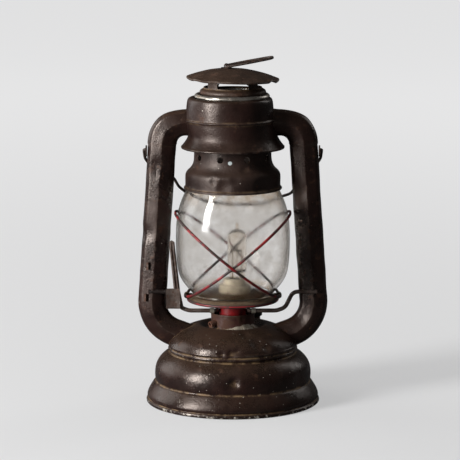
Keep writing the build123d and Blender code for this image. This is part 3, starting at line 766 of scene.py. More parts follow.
def cutWith(name, mesh, cutter):
    # takes the cutter mesh out of the mesh
    holder, tool = linked(name + "Whole", mesh), linked(name + "Tool", cutter)
    cut = holder.modifiers.new("holes", "BOOLEAN")
    cut.operation, cut.object, cut.solver = "DIFFERENCE", tool, "EXACT"
    graph = bpy.context.evaluated_depsgraph_get()
    result = bpy.data.meshes.new_from_object(holder.evaluated_get(graph))
    bpy.data.objects.remove(holder)
    bpy.data.objects.remove(tool)
    return result


# tank: one pressing with a rolled foot, two soft beads and a dished top

tank = {
    "body": "lantern_body", "slot": "aged_steel", "wall": 0.8, "turns": 220, "uneven": 0.22,
    "line": [(59, 0), (60.4, 0), (61.4, 0.3), (61.5, 1.8), (61, 2.6), (60.2, 3), (60.5, 3.8),
             (60.8, 5), (60.4, 6.8), (59.5, 8.8), (58.2, 11), (56.9, 13), (55.9, 14.4), (55.1, 14.9),
             (54.9, 15.7), (55.3, 17.2), (55.5, 20.5), (55.2, 24.2), (54.2, 27.6), (52.2, 30.8), (49.6, 33.4),
             (46.8, 35.1), (45.2, 35.5), (44.9, 36.1), (45.3, 36.9), (45.9, 37.6), (45.9, 38.4), (45.5, 39),
             (45.4, 39.7), (45.8, 40.4), (45.8, 41.2), (45.3, 42), (44.8, 43.4),
             (43.4, 45.9), (40.6, 48.7), (36.4, 51.4), (31.2, 53.6), (26.6, 55), (24.9, 55.5),
             (23.2, 55.5), (21.6, 54.8), (19.6, 53.2), (18, 52.4), (13, 52.4)],
    "dents": [((1.2, -54.6, 24), 5.6, (0.2, 2.5, -0.2)), ((-3.4, -54.8, 22), 5, (0, 0.8, 0)),
              ((4.4, -55, 25), 3.6, (0, -0.5, 0)),
              ((-0.6, -44.6, 42.6), 4.6, (-0.2, 1.3, -0.5)), ((3.2, -43.8, 44.2), 3.4, (0, 0.7, -0.4)),
              ((-7.6, -44.4, 42), 3.6, (0, 0.9, -0.2)), ((17, -36.5, 48.2), 7.5, (-0.2, 0.5, -1.2)),
              ((23.6, -36.2, 45.2), 4.6, (-0.3, 0.7, -0.7)), ((9, -30, 53.2), 6, (0, 0.1, -0.8)),
              ((-30, 44, 26), 12, (0.9, -1.4, 0.1)), ((40, 22, 45), 7, (-0.6, -0.3, -0.8)),
              ((46, -30, 20), 8, (-0.7, 0.5, 0))],
}
tankPiece = turned("tankBody", tank, tankPaint, ["tank_shell"])

collar = {
    "body": "lantern_body", "slot": "aged_steel", "wall": 0.8, "uneven": 0.14,
    "line": [(17, 52.6), (16.8, 53.3), (15.8, 53.6), (15.4, 54.6), (15.4, 62.6), (15.45, 63.4),
             (15.2, 63.8), (14.9, 63.8)],
    "dents": [((7, -13.8, 60.5), 3, (-0.2, 0.4, 0)), ((-6, -14.4, 62), 2.5, (0.1, 0.3, 0))],
}
turned("burnerCollar", collar, collarPaint, ["burner_collar"])


# solder: a lumpy fillet that climbs the collar at its front right

solder = {"low": 52.4, "inner": 15.3, "turns": 240, "rows": 9, "front": -52, "sunk": 0.3,
          "height": 0.7, "climb": 4.08, "width": 1.9, "reach": 4.2, "lumps": 0.30, "rough": 0.16}


def solderRings():
    rings = []
    for k in range(solder["turns"]):
        angle = 2 * math.pi * k / solder["turns"]
        ahead, aside = math.cos(angle), math.sin(angle)
        facing = max(0.0, math.cos(angle - math.radians(solder["front"]))) ** 2
        lump = 1 + solder["lumps"] * noise.noise(Vector((ahead, aside, 0.3)) * 4.0)
        height = (solder["height"] + solder["climb"] * facing) * lump
        reach = (solder["width"] + solder["reach"] * facing) * lump
        ring = []
        for step in range(solder["rows"]):
            t = step / (solder["rows"] - 1)
            rough = solder["rough"] * noise.noise(Vector((ahead * 9, aside * 9, 1.7 + t * 3)))
            radius = solder["inner"] + reach * t ** 1.4 + rough * t
            lift = solder["low"] + height * (1 - t) ** 1.6 + rough * (1 - t)
            ring.append((radius * ahead, radius * aside, lift))
        ring.append((solder["inner"] * ahead, solder["inner"] * aside, solder["low"] - solder["sunk"]))
        rings.append(ring)
    return rings


solderMesh = meshOf("collarSolder", skinned(solderRings(), looped=True))
settle("collarSolder", solderMesh, "lantern_body", solderGrey, ["collar_solder"])
print("tank and collar done")


# filler cap: turned lid with raised knurls round its skirt

fillerLow, fillerHigh = (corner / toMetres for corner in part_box("filler_cap"))
filler = {
    "centre": ((fillerLow.x + fillerHigh.x) / 2, (fillerLow.y + fillerHigh.y) / 2),
    "line": [(0, 59.6), (4, 59.6), (4.9, 59.4), (5, 58.9), (6, 58.8), (6.4, 58.4), (6.4, 55.6),
             (6.1, 55.3), (5.5, 55.3), (5.42, 55.7), (5.42, 57.9), (0, 57.9)],
    "knurls": 22, "knurlRing": 6.3, "knurlHeight": 57.1, "knurlSize": (0.8, 0.9, 2.6),
}
capMesh = meshOf("fillerLid", lathe(softened(filler["line"]), 88, filler["centre"]))
knurlMesh = ringMesh("fillerKnurls", filler, "knurl", Finish=darkIron)
knurlMesh.transform(Matrix.Translation(Vector((*filler["centre"], 0)) * toMetres))
settle("fillerCap", joined("fillerCap", [capMesh, knurlMesh]), "filler_cap", darkIron,
       ["filler_cap"])


# air tubes: creased ducts from the canopy down to the tank

duct = {"half": 10.25, "deep": 7.5, "round": 1.5, "foot": (57.1, 73.0), "joint": (49.6, 184.0),
        "footBend": 24.0, "footTurn": 74.0, "elbowZ": 200.0, "elbowBend": 16.0, "elbowStart": 28.2}


def ductSection(grow):
    half, deep = duct["half"] + grow, duct["deep"] + grow
    corners = [(0, -half), (0.56 * deep, -0.8 * half), (deep, 0), (0.56 * deep, 0.8 * half), (0, half),
               (-0.56 * deep, 0.8 * half), (-deep, 0), (-0.56 * deep, -0.8 * half)]
    section = []
    for k, corner in enumerate(corners):
        here = Vector(corner)
        before, after = Vector(corners[k - 1]), Vector(corners[(k + 1) % len(corners)])
        reach = 0.4 if abs(here.y) < 0.1 and abs(here.x) > 1 else duct["round"]
        start = here + (before - here).normalized() * reach
        end = here + (after - here).normalized() * reach
        section += [arcStep(start, here, end, t) for t in (0, 0.33, 0.67, 1)]
        section += [end.lerp(after + (here - after).normalized() * reach, t) for t in (0.25, 0.5, 0.75)]
    return section


def arcPoints(start, heading, radius, turn, steps=22):
    # points along an arc that starts at a heading and turns by an angle
    side = 1 if turn > 0 else -1
    centre = Vector(start) + Vector((-heading.y, heading.x)) * radius * side
    spoke = Vector(start) - centre
    points = []
    for step in range(1, steps + 1):
        a = math.radians(turn) * step / steps
        points.append((centre.x + spoke.x * math.cos(a) - spoke.y * math.sin(a),
                       centre.y + spoke.x * math.sin(a) + spoke.y * math.cos(a)))
    return points


def sideLine():
    joint, foot = Vector(duct["joint"]), Vector(duct["foot"])
    lean = (foot - joint).normalized()
    line = [tuple(joint.lerp(foot, k / 62)) for k in range(63)]
    line += arcPoints(foot, lean, duct["footBend"], -duct["footTurn"])
    turn = math.radians(-duct["footTurn"])
    away = Vector((lean.x * math.cos(turn) - lean.y * math.sin(turn),
                   lean.x * math.sin(turn) + lean.y * math.cos(turn)))
    return line + [tuple(Vector(line[-1]) + away * step * 1.5) for step in range(1, 11)]


def elbowLine():
    z = duct["elbowZ"]
    run = duct["joint"][0] - duct["elbowBend"]
    line = [(duct["elbowStart"] + (run - duct["elbowStart"]) * k / 4, z) for k in range(5)]
    return line + arcPoints((run, z), Vector((1, 0)), duct["elbowBend"], -90, 26)


tubes = {
    "right": {"side": 1, "dents": [((61, -4, 80), 7, (-0.9, 0.5, 0)),
                                   ((46, -5.5, 150), 9, (0.5, 0.8, 0)),
                                   ((57, -7, 104), 10, (0, 0.8, 0)),
                                   ((48.5, -5, 60), 8, (0.2, 0.8, 0.3)),
                                   ((37, 0, 212.5), 21, (0, 0, -2))]},
    "left": {"side": -1, "dents": [((-52.5, -7, 168), 9, (0.3, 0.9, 0)),
                                   ((-47, -5, 128), 10, (-0.7, 0.5, 0)),
                                   ((-61.5, -4, 121), 9, (0.8, 0.5, 0)),
                                   ((-50, -6, 62), 8, (0, 0.9, 0.2)),
                                   ((-37, 0, 212.5), 21, (0, 0, -2))]},
}
for side, tube in tubes.items():
    look = {"uneven": 0.25, "grain": 0.09, "dents": tube["dents"]}
    for label, line, grow in (("SideTube", sideLine(), 0.0), ("Elbow", elbowLine(), 0.35)):
        build = sweepDuct(line, ductSection(grow))
        if tube["side"] < 0:
            for point in build.verts:
                point.co.x = -point.co.x
            bmesh.ops.reverse_faces(build, faces=build.faces)
        node = f"{side}_{'side_tube' if label == 'SideTube' else 'elbow'}"
        settle(side + label, meshOf(side + label, build, look), "lantern_body", tubePaint,
               [node], sharp=60.0)


# the duct's two facets a quarter, as weights for (out, across) and the facet's reach
ductFacets = [(8.2, 3.3, 61.5), (2.05, 4.2, 43.05)]
jointDirt = {"above": 0.038, "halfWidth": 0.011, "at": 1.03, "fade": 0.13}


def ductReach(point):
    # how far out of the duct a place is: 1 on its skin
    spot = Vector((abs(point.x), point.z)) / toMetres
    path = [Vector(p) for p in sideLine()[60:]]
    nearest = min(range(1, len(path)), key=lambda k: (path[k] - spot).length)
    along = (path[nearest] - path[nearest - 1]).normalized()
    away = spot - path[nearest]
    across, out = abs(away.x * along.y - away.y * along.x), abs(point.y) / toMetres
    return max((a * out + b * across) / reach for a, b, reach in ductFacets)


hollows = tankPiece.data.attributes["hollow"].data
for point, mark in zip(tankPiece.data.vertices, hollows):
    if point.co.z > jointDirt["above"] and abs(point.co.y) < jointDirt["halfWidth"]:
        far = abs(ductReach(point.co) - jointDirt["at"]) / jointDirt["fade"]
        mark.value = max(mark.value, 1.0 - far)
print("air tubes done")


# canopy and its bright top ring

canopy = {
    "body": "lantern_body", "slot": "aged_steel", "wall": 0.8, "turns": 200, "uneven": 0.16,
    "line": [(35.2, 181.4), (36, 181.1), (36.4, 181.6), (36.4, 182.4), (35.6, 183), (34.2, 184.9),
             (32.6, 187.2), (31.6, 189.3), (31.1, 192.4), (31, 196), (31, 200.1), (31.6, 200.7),
             (31.7, 201.5), (30.9, 201.9), (30.8, 203.4), (30.7, 206.6), (30.5, 210.4), (30.1, 214.2),
             (29.4, 216.2), (27.6, 217), (25.6, 216.8)],
    "leans": [(188, 199, (-2, 0, 0))],
    "dents": [((-11.6, -28.9, 211.5), 4, (0.05, 0.12, 0)),
              ((12, -33, 183), 6, (0, 0.5, 0.3)), ((-20, 24, 196), 8, (0.6, -0.8, 0))],
}
turned("canopy", canopy, drumPaint, ["canopy"])
topRing = {
    "body": "lantern_body", "slot": "bare_steel", "uneven": 0.22, "grain": 0.16, "turns": 180,
    "line": [(24.2, 217.05), (25.9, 217.05), (26.5, 217.4), (26.4, 218.3), (25.9, 219.1), (25.1, 219.6),
             (24.3, 219.5), (23.8, 218.9), (23.7, 217.5)],
    "leans": [(200, 210, (-0.6, 0, 0))],
    "dents": [((-16, -21, 218.9), 5, (0, 0.2, -0.35)), ((9, -25, 218.9), 6, (0, 0.2, -0.3))],
}
turned("topRing", topRing, bareTin, ["canopy_top_ring"])


# hood: bell with vent holes, crown with windows, domed cap, staple and ring

bell = {
    "wall": 0.6, "turns": 200, "uneven": 0.2, "grain": 0.07,
    "line": [(33.3, 152.8), (34, 152.2), (34.6, 152.6), (34.5, 153.7), (33.5, 154), (33.4, 156),
             (33.5, 160), (33.4, 163.1), (32.2, 165.2), (29.9, 167.2), (28.3, 169.6), (27.5, 172.2),
             (27.2, 175), (27.2, 180.2), (27, 180.9), (26, 181), (19.8, 181)],
    "dents": [((-6, -32.8, 158), 7, (-0.3, 1.4, 0.3)), ((-13.4, -30.6, 161.4), 4.4, (0, 0.7, -0.4)),
              ((1.6, -33.3, 162), 5, (0.2, 0.7, 0)), ((9, -29, 168.8), 5, (-0.2, 0.9, 0.3)),
              ((20, -26, 158), 8, (-0.3, 0.8, 0)), ((-10, 31, 160), 8, (0.2, -1, 0))],
    "vents": 9, "ventRing": 27.2, "ventSize": (4.0, 4.5, 4.5), "ventHeight": 175.7, "ventTurn": 251.0,
}
ventCutter = ringMesh("bellVents", bell, "vent", Rods=True, Turn=math.radians(bell["ventTurn"]))
bellLine = sheetLoop(softened(bell["line"]), bell["wall"])
bellMesh = cutWith("bell", meshOf("bell", lathe(bellLine, bell["turns"]), bell), ventCutter)
settle("bell", bellMesh, "hood", bellPaint, ["bell"])

cap = {"radius": 32.3, "rim": 230.6, "rise": 6.6, "tilt": 1.8, "wall": 0.8, "turns": 200,
       "dents": [((31, -7, 229.2), 6, (-1.1, 0.5, -1)), ((26.5, -16.5, 229.6), 4.5, (-0.6, 0.6, 1.1)),
                 ((-18, -22, 233.2), 9, (0, 0.2, -0.8)), ((12, -17, 235.2), 8, (0, 0.1, -0.6)),
                 ((-28, -12, 231.5), 6, (0.4, 0.1, -0.6)), ((8, 24, 233.5), 9, (0, 0, -0.9))]}


def capHeight(radius):
    ball = (cap["radius"] ** 2 + cap["rise"] ** 2) / (2 * cap["rise"])
    return cap["rim"] + cap["rise"] - ball + math.sqrt(ball ** 2 - radius ** 2)


def tilted(point):
    lean = Matrix.Rotation(math.radians(cap["tilt"]), 3, "Y")
    pivot = Vector((0, 0, cap["rim"]))
    return lean @ (Vector(point) - pivot) + pivot


capSteps = [k * 2.0 for k in range(16)]
capRim = [(31.6, 0.4), (32.3, 0.1), (32.6, -0.5), (32.3, -1.2), (31.6, -1.4), (31.0, -1.1), (30.8, -0.4)]
capLine = [(r, capHeight(r)) for r in capSteps] + [(r, cap["rim"] + lift) for r, lift in capRim]
capLine += [(r, capHeight(r) - cap["wall"]) for r in capSteps[::-1]]
capBuild = lathe(capLine, cap["turns"])
for point in capBuild.verts:
    point.co = tilted(point.co)
    ripple = 0.22 * noise.noise(point.co * 0.11)
    point.co.z += ripple
settle("hoodCap", meshOf("hoodCap", capBuild, cap), "hood", capPaint, ["hood_cap"])

crown = {
    "wall": 0.6, "turns": 160, "uneven": 0.12,
    "line": [(19.6, 216), (19.6, 218.4), (20.8, 218.8), (22.6, 219.2), (23.4, 219.9), (23.4, 221.3),
             (22.6, 222.4), (21.2, 223.1), (20.5, 223.7), (20.5, 226), (20.5, 233.9)],
    "windows": 4, "windowRing": 20.5, "windowSize": (9.0, 22.0, 4.8), "windowHeight": 226.6,
    "leanFrom": 230.0, "tornAt": (0.5, 21.5, 225.7), "tornSize": (21.0, 8.0, 6.8),
    "dents": [((6, -20, 222), 5, (0, 0.5, 0))],
}
crownBuild = lathe(sheetLoop(softened(crown["line"]), crown["wall"]), crown["turns"])
topLine = max(point.co.z for point in crownBuild.verts)
for point in crownBuild.verts:
    share = (point.co.z - crown["leanFrom"]) / (topLine - crown["leanFrom"])
    if share > 0:
        point.co.z -= math.sin(math.radians(cap["tilt"])) * point.co.x * share
windowCutter = ringMesh("crownWindows", crown, "window")
crownMesh = cutWith("crown", meshOf("crown", crownBuild, crown), windowCutter)
crownMesh = cutWith("crown", crownMesh, boxMesh("tornWindow", crown["tornAt"], crown["tornSize"]))
settle("crown", crownMesh, "hood", capPaint, ["crown"])


# lift ring: a flattened wire loop hinged in a low staple

ear = {"from": 60.3, "to": 61.3, "hole": 1.22, "wide": 2.9, "low": 5.0}
staple = {"span": (-1.9, 1.9), "hole": 1.12, "wide": 1.8, "low": 2.6,
          "strap": (7.6, 5.0, 1.1), "strapZ": 237.25, "bevel": 0.25}


def eyeMesh(name, look, span, place):
    # a lug with a round hole, drawn down at its foot
    rings, steps = [], 48
    for along, inner in ((span[0], True), (span[1], True), (span[1], False), (span[0], False)):
        ring = []
        for k in range(steps):
            a = 2 * math.pi * k / steps
            out, up = math.cos(a), math.sin(a)
            wide = look["hole"] if inner else look["wide"]
            tall = look["low"] if up < 0 and not inner else wide
            ring.append(place(along, out * wide, up * tall))
        rings.append(ring)
    return meshOf(name, skinned(rings, looped=True))


liftRing = {"hinge": (-4.5, 0.0, 238.7), "half": 6.6, "length": 32.8, "tilt": 10.6, "wire": 0.85}


def ringPoints():
    half, length = liftRing["half"], liftRing["length"]
    points = [(0, 2.2, 0), (0, half, 0), (length * 0.45, half + 1.6, 0), (length, half - 0.4, 0),
              (length, 0.4 - half, 0), (length * 0.45, -half - 1.6, 0), (0, -half, 0), (0, -2.2, 0)]
    flat = filletPath(points, [1.6, 12.0, 5.0, 5.0, 12.0, 1.6])
    lean = Matrix.Rotation(math.radians(-liftRing["tilt"]), 3, "Y")
    return [lean @ point + Vector(liftRing["hinge"]) for point in flat + [Vector((0, 0, 0))]]


loopedWire = wireMesh("liftRing", ringPoints(), liftRing["wire"], ringSteel, closed=True, uneven=0.10)
settle("liftRing", loopedWire, "lift_ring", ringSteel, ["lift_ring"])
hingeX, hingeZ = liftRing["hinge"][0], liftRing["hinge"][2]
eyePart = eyeMesh("stapleEye", staple, staple["span"],
                  lambda along, out, up: (hingeX + out, along, hingeZ + up))
strapPart = boxMesh("stapleStrap", (hingeX, 0.0, staple["strapZ"]), staple["strap"], staple["bevel"])
settle("ringStaple", joined("ringStaple", [eyePart, strapPart]), "hood", ringSteel,
       ["ring_staple"])
print("hood done")


# globe carriage: globe, plate, pan, hub, guard hoops

globe = {
    "wall": 1.7,
    "line": [(27.6, 76.9), (36, 87.1), (39.3, 97.2), (40.25, 115.8), (39.5, 131.6), (36.6, 143),
             (32.2, 153), (32.2, 156)],
}


def evened(line, passes):
    # irons the kinks out of a smooth line, ends kept
    for _ in range(passes):
        line = [line[0]] + [tuple(0.5 * b + 0.25 * (a + c) for a, b, c in zip(*trio))
                            for trio in zip(line, line[1:], line[2:])] + [line[-1]]
    return line


globeLine = evened(throughPoints(globe["line"], 12), 14)
globeMesh = meshOf("globe", lathe(sheetLoop(globeLine, globe["wall"]), 192),
                   {"uneven": 0.10, "grain": 0.04})
settle("globe", globeMesh, "carriage", globeClear, ["globe"], sharp=60.0)

plate = {
    "body": "carriage", "slot": "aged_steel", "wall": 0.8, "uneven": 0.10, "turns": 200,
    "line": [(31.3, 72.9), (31.2, 73.9), (31.6, 74.4), (30.6, 74.9), (29, 75.5), (27.6, 75.9),
             (25, 76.1), (21.8, 76.9), (17, 77.5), (9.7, 77.9)],
    "dents": [((18, -22, 76), 6, (0, 0, -0.3)), ((-14, -20, 77), 5, (0, 0, -0.25))],
}
turned("globePlate", plate, platePaint, ["globe_plate"])
rim = {
    "body": "carriage", "slot": "red_paint", "uneven": 0.10, "turns": 200,
    "line": [(31.4, 72.2), (32.3, 72.4), (32.7, 73.1), (32.6, 73.9), (32, 74.4), (31.2, 74.4),
             (30.7, 73.8), (30.7, 72.8)],
}
turned("plateRim", rim, rimRed)
pan = {
    "body": "carriage", "slot": "aged_steel", "wall": -0.8, "uneven": 0.08, "turns": 160,
    "line": [(9.6, 70.4), (12.4, 70.4), (16.5, 70.9), (21, 71.4), (25.8, 72.2), (30, 73.2)],
}
turned("carriagePan", pan, darkIron)
hub = {
    "body": "carriage", "slot": "red_paint", "wall": 0.8, "uneven": 0.06, "turns": 96,
    "line": [(9.2, 59), (9.5, 59.4), (9.5, 62), (9.5, 70), (9.5, 76.4), (9.2, 77)],
}
turned("carriageHub", hub, hubRed, ["carriage_hub"])

hoops = {"low": -32.6, "high": 40.6, "lowZ": 75.9, "slope": 0.81, "wire": 0.99, "across": 42.2,
         "lift": 2.15, "flat": 41.28}


def hoopPoints(mirror, lift):
    middle, reach = (hoops["high"] + hoops["low"]) / 2, (hoops["high"] - hoops["low"]) / 2
    slope = math.atan(hoops["slope"])
    centre = Vector((middle, 0, hoops["lowZ"] + (middle - hoops["low"]) * hoops["slope"]))
    long, wide = reach / math.cos(slope), hoops["across"] + lift
    points = []
    for k in range(180):
        a = 2 * math.pi * k / 180
        across = long * math.cos(a)
        point = centre + Vector((across * math.cos(slope), wide * math.sin(a), across * math.sin(slope)))
        points.append(Vector((mirror * point.x, point.y, point.z)))
    return points


for name, mirror, lift in (("guardHoopRight", 1, 0.0), ("guardHoopLeft", -1, hoops["lift"])):
    hoopMesh = wireMesh(name, hoopPoints(mirror, lift), hoops["wire"], guardRed, closed=True, uneven=0.05,
                        spacing=1.2)
    for point in hoopMesh.vertices:
        point.co.x = max(min(point.co.x, hoops["flat"] * toMetres), -hoops["flat"] * toMetres)
    node = "guard_hoop_right" if mirror > 0 else "guard_hoop_left"
    settle(name, hoopMesh, "carriage", guardRed, [node])
print("carriage done")


# globe lift crank: two bent arms, the loop behind the hub, the ribbed lever and its thumb plate

crank = {"y": -6.2, "z": 79.5, "wire": 1.5, "low": 65.9, "ferrule": 14.7, "end": 59.5, "loopWire": 1.3,
         "loopSide": 11.2, "loopBack": 12.8, "loopBends": [1.9, 10.9, 10.9, 1.9]}
for side, sign, finish in (("right", 1, wireSteel), ("left", -1, leftArmSteel)):
    bends = [(crank["end"], crank["y"], crank["z"]), (42.5, crank["y"], crank["z"]),
             (37.0, crank["y"], crank["low"] + 2.2), (31.0, crank["y"], crank["low"]),
             (crank["ferrule"], crank["y"], crank["low"])]
    line = [Vector((sign * p.x, p.y, p.z)) for p in filletPath(bends, [6.0, 7.0, 10.0])]
    armMesh = wireMesh(side + "CrankArm", line, crank["wire"], finish, uneven=0.08, sides=20)
    settle(side + "CrankArm", armMesh, "crank", finish, [side + "_crank_arm"])
loopLine = [(-crank["ferrule"], crank["y"]), (-crank["loopSide"], crank["y"]),
            (-crank["loopSide"], crank["loopBack"]), (crank["loopSide"], crank["loopBack"]),
            (crank["loopSide"], crank["y"]), (crank["ferrule"], crank["y"])]
loopMesh = wireMesh("liftLoop", filletPath([(x, y, crank["low"]) for x, y in loopLine], crank["loopBends"]),
                    crank["loopWire"], wireSteel, sides=18)
settle("liftLoop", loopMesh, "crank", wireSteel, ["lift_loop"])

lever = {"front": -8.3, "left": [(67.8, -38.6), (80.4, -41.6), (116.6, -45.0)],
         "right": [(67.8, -34.6), (80.4, -37.2), (116.6, -41.2)],
         "z": (67.8, 116.6), "ribs": (0.26, 0.74), "ribHeight": 0.75, "ribWidth": 0.09,
         "endRound": 1.2, "roundFrom": 0.97, "wall": 0.7,
         "plate": {"x": (-47.2, -37.3), "z": (67.8, 82.2), "bow": 23.0, "centre": (-42.6, -31.6),
                   "waves": 0.15, "wall": 0.75}}


def between(table, z):
    for (lowZ, lowX), (highZ, highX) in zip(table, table[1:]):
        if z <= highZ:
            return lowX + (highX - lowX) * (z - lowZ) / (highZ - lowZ)
    return table[-1][1]


def sheetPatch(rows, columns, place, wall):
    # a bent sheet from a grid of places, with its back and edges
    build = bmesh.new()
    faces = []
    for back in (0.0, wall):
        grid = [[build.verts.new(place(r / rows, c / columns, back)) for c in range(columns + 1)]
                for r in range(rows + 1)]
        for r in range(rows):
            for c in range(columns):
                build.faces.new((grid[r][c], grid[r][c + 1], grid[r + 1][c + 1], grid[r + 1][c]))
        faces.append(grid)
    front, rear = faces
    loop = [(0, c) for c in range(columns)] + [(r, columns) for r in range(rows)]
    loop += [(rows, c) for c in range(columns, 0, -1)] + [(r, 0) for r in range(rows, 0, -1)]
    for (r, c), (nr, nc) in zip(loop, loop[1:] + loop[:1]):
        build.faces.new((front[r][c], front[nr][nc], rear[nr][nc], rear[r][c]))
    bmesh.ops.recalc_face_normals(build, faces=build.faces)
    return build


def leverPlace(up, across, back):
    z = lever["z"][0] + (lever["z"][1] - lever["z"][0]) * up
    left, right = between(lever["left"], z), between(lever["right"], z)
    rib = max(math.exp(-((across - at) / lever["ribWidth"]) ** 2) for at in lever["ribs"])
    rib *= min(1.0, 8 * up, 8 * (1 - up))
    tip = max(0.0, up - lever["roundFrom"]) / (1 - lever["roundFrom"])
    rounding = lever["endRound"] * tip * abs(across - 0.5) * 2
    return (left + (right - left) * across, lever["front"] - lever["ribHeight"] * rib + back, z - rounding)


def thumbPlace(up, across, back):
    spot = lever["plate"]
    x = spot["x"][0] + (spot["x"][1] - spot["x"][0]) * across
    z = spot["z"][0] + (spot["z"][1] - spot["z"][0]) * up
    corner = max(0.0, abs(up - 0.5) * 2 - 0.9) * 10 * max(0.0, abs(across - 0.5) * 2 - 0.75) * 4
    x -= corner * 0.5 * (1 if across > 0.5 else -1)
    y = spot["centre"][1] + math.sqrt((spot["bow"] - back) ** 2 - (x - spot["centre"][0]) ** 2)
    return (x, y + spot["waves"] * math.sin(z * 0.7), z)


stripMesh = meshOf("leverStrip", sheetPatch(60, 28, leverPlace, lever["wall"]))
thumbMesh = meshOf("thumbPlate", sheetPatch(24, 18, thumbPlace, lever["plate"]["wall"]))
leverMesh = joined("liftLever", [stripMesh, thumbMesh])
settle("liftLever", leverMesh, "crank", wireSteel, ["lift_lever"])


# bail: one springy wire, hooked into both ears and leaning back behind the globe

bail = {"height": 180.0, "wire": 1.04, "lean": -40.0,
        "line": [(-60.4, 0), (-62.5, 0), (-62, 12), (-56, 27), (-42.2, 38), (-38.8, 50), (-33, 58.8),
                 (-20, 70), (0, 74.6), (20, 73.2), (28.6, 69.6), (34.6, 64), (42, 59.6), (47, 45),
                 (56, 27), (62, 12), (62.5, 0), (60.4, 0)],
        "bends": [1.4, 14, 12, 8, 14, 12, 16, 24, 20, 12, 10, 8, 16, 14, 16, 1.6]}
lean = Matrix.Rotation(math.radians(bail["lean"]), 3, "X")
bailPoints = [lean @ point + Vector((0, 0, bail["height"]))
              for point in filletPath([(x, out, 0) for x, out in bail["line"]], bail["bends"])]
bailMesh = wireMesh("bail", bailPoints, bail["wire"], bailSteel, uneven=0.08, spacing=1.2)
settle("bail", bailMesh, "bail", bailSteel, ["bail"])

for side, sign in (("right", 1), ("left", -1)):
    span = (sign * ear["from"], sign * ear["to"])
    earMesh = eyeMesh(side + "BailEar", ear, span, lambda along, out, up: (along, out, bail["height"] + up))
    settle(side + "BailEar", earMesh, "lantern_body", tubePaint, [side + "_bail_ear"])
print("crank and bail done")


# lamp: stepped ceramic holder, capsule with a drawn tip, pinched foot, coil on two posts

holderX, lampX, lampBase = 1.2, 3.0, 88.0  # how far right of the axis, and where the glass starts
holderLine = [(0.0, 78.2), (10.7, 78.2), (11.3, 78.5), (11.3, 79.6), (11.3, 82.6), (10.9, 83.1), (8.9, 83.2),
              (8.2, 83.4), (8.1, 84.2), (8.1, 87.1), (7.6, 87.8), (6.2, 87.8), (0.0, 87.8)]
holderMesh = meshOf("lampHolder", lathe(softened(holderLine), 96, (holderX, 0.0)))
settle("lampHolder", holderMesh, "carriage", ceramicCream, ["lamp_holder"])

capsule = {
    "outside": [(0, 93), (5.2, 93), (6.4, 93.3), (7, 94.4), (7, 98), (7, 112), (7, 116.4),
                (6.9, 118.6), (6.1, 120.6), (4.4, 122.2), (2.4, 122.8), (1.5, 123.2), (1.25, 124.6),
                (1.2, 126.2), (0.9, 127.4), (0, 127.8)],
    "inside": [(0, 94.4), (5, 94.4), (5.9, 94.9), (6.2, 96), (6.2, 100), (6.2, 115.6), (6.1, 118.2),
               (5.2, 120.2), (3.4, 121.4), (1.6, 121.8), (0, 121.9)],
    "pinch": (5.5, 1.8, 5.0),
}


def pinchMesh():
    # the flattened foot of the glass, thicker along its two edges
    width, depth, height = capsule["pinch"]
    rings = []
    for row in range(9):
        t = row / 8
        ring = []
        for k in range(48):
            a = 2 * math.pi * k / 48
            x = width * math.copysign(abs(math.cos(a)) ** 0.35, math.cos(a))
            y = depth * math.copysign(abs(math.sin(a)) ** 0.5, math.sin(a))
            y *= 0.72 + 0.28 * abs(x / width) ** 3 + 0.2 * t ** 3
            ring.append((x, y, lampBase + 0.05 + (height - 0.1) * t))
        rings.append(ring)
    return meshOf("pinch", skinned(rings))


skinMesh = meshOf("capsuleSkin", lathe(softened(capsule["outside"]), 96))
hollow = lathe(softened(capsule["inside"]), 96)
bmesh.ops.reverse_faces(hollow, faces=hollow.faces)
lampMesh = joined("lampGlass", [skinMesh, meshOf("capsuleHollow", hollow), pinchMesh()])
lampMesh.transform(Matrix.Translation((lampX * toMetres, 0, 0)))
settle("lampGlass", lampMesh, "lamp", lampClear, ["lamp_glass"], sharp=50.0)

mount = {"post": 3.175, "postWire": 0.42, "coilHeight": 108.0, "coilRadius": 0.62, "coilLength": 6.6}
coilMesh = grown("lampCoil", coilTree, {"Turns": 16.0, "Radius": mount["coilRadius"] * toMetres,
                                        "Length": mount["coilLength"] * toMetres, "Thickness": 0.00013,
                                        "Finish": filamentMetal})
coilMesh.transform(Matrix.Translation(Vector((-mount["coilLength"] / 2, 0, mount["coilHeight"])) * toMetres)
                   @ Matrix.Rotation(math.pi / 2, 4, "Y"))
posts = [wireMesh("lampPost", [(sign * mount["post"], 0, 79.8), (sign * mount["post"], 0, 95.0),
                               (sign * mount["post"], 0, mount["coilHeight"])], mount["postWire"],
                  filamentMetal, sides=10) for sign in (-1, 1)]
middlePost = wireMesh("lampMiddlePost", [(0, 0, 94.6), (0, 0, 104.0), (0.3, 0, 112.0)], 0.3, filamentMetal,
                      sides=8)
mountMesh = joined("lampMount", [coilMesh, middlePost] + posts)
mountMesh.transform(Matrix.Translation((lampX * toMetres, 0, 0)))
settle("lampMount", mountMesh, "lamp", filamentMetal, ["lamp_filament"])
print("lamp done")


# CAD nodes that stay, each with its own finish

kept = {
    "tank_base_plate": rustySteel, "wick_shaft_gland": glandRust, "filler_neck": rustySteel,
    "filler_gasket": leadRubber,
    "left_tube_tabs": rustySteel, "chimney": bareTin,
    "left_guard_eyelet": tanTab, "right_guard_eyelet": tanTab, "right_ferrule": paleClip,
    "left_ferrule": paleClip, "holder_contacts": contactMetal, "lamp_leads": leadRubber,
    "terminal_block": blockPlastic,
}
for name, material in kept.items():
    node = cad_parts[name]
    node.data.materials.clear()
    node.data.materials.append(material)
print("kept nodes finished:", len(kept))


# floor, light and camera

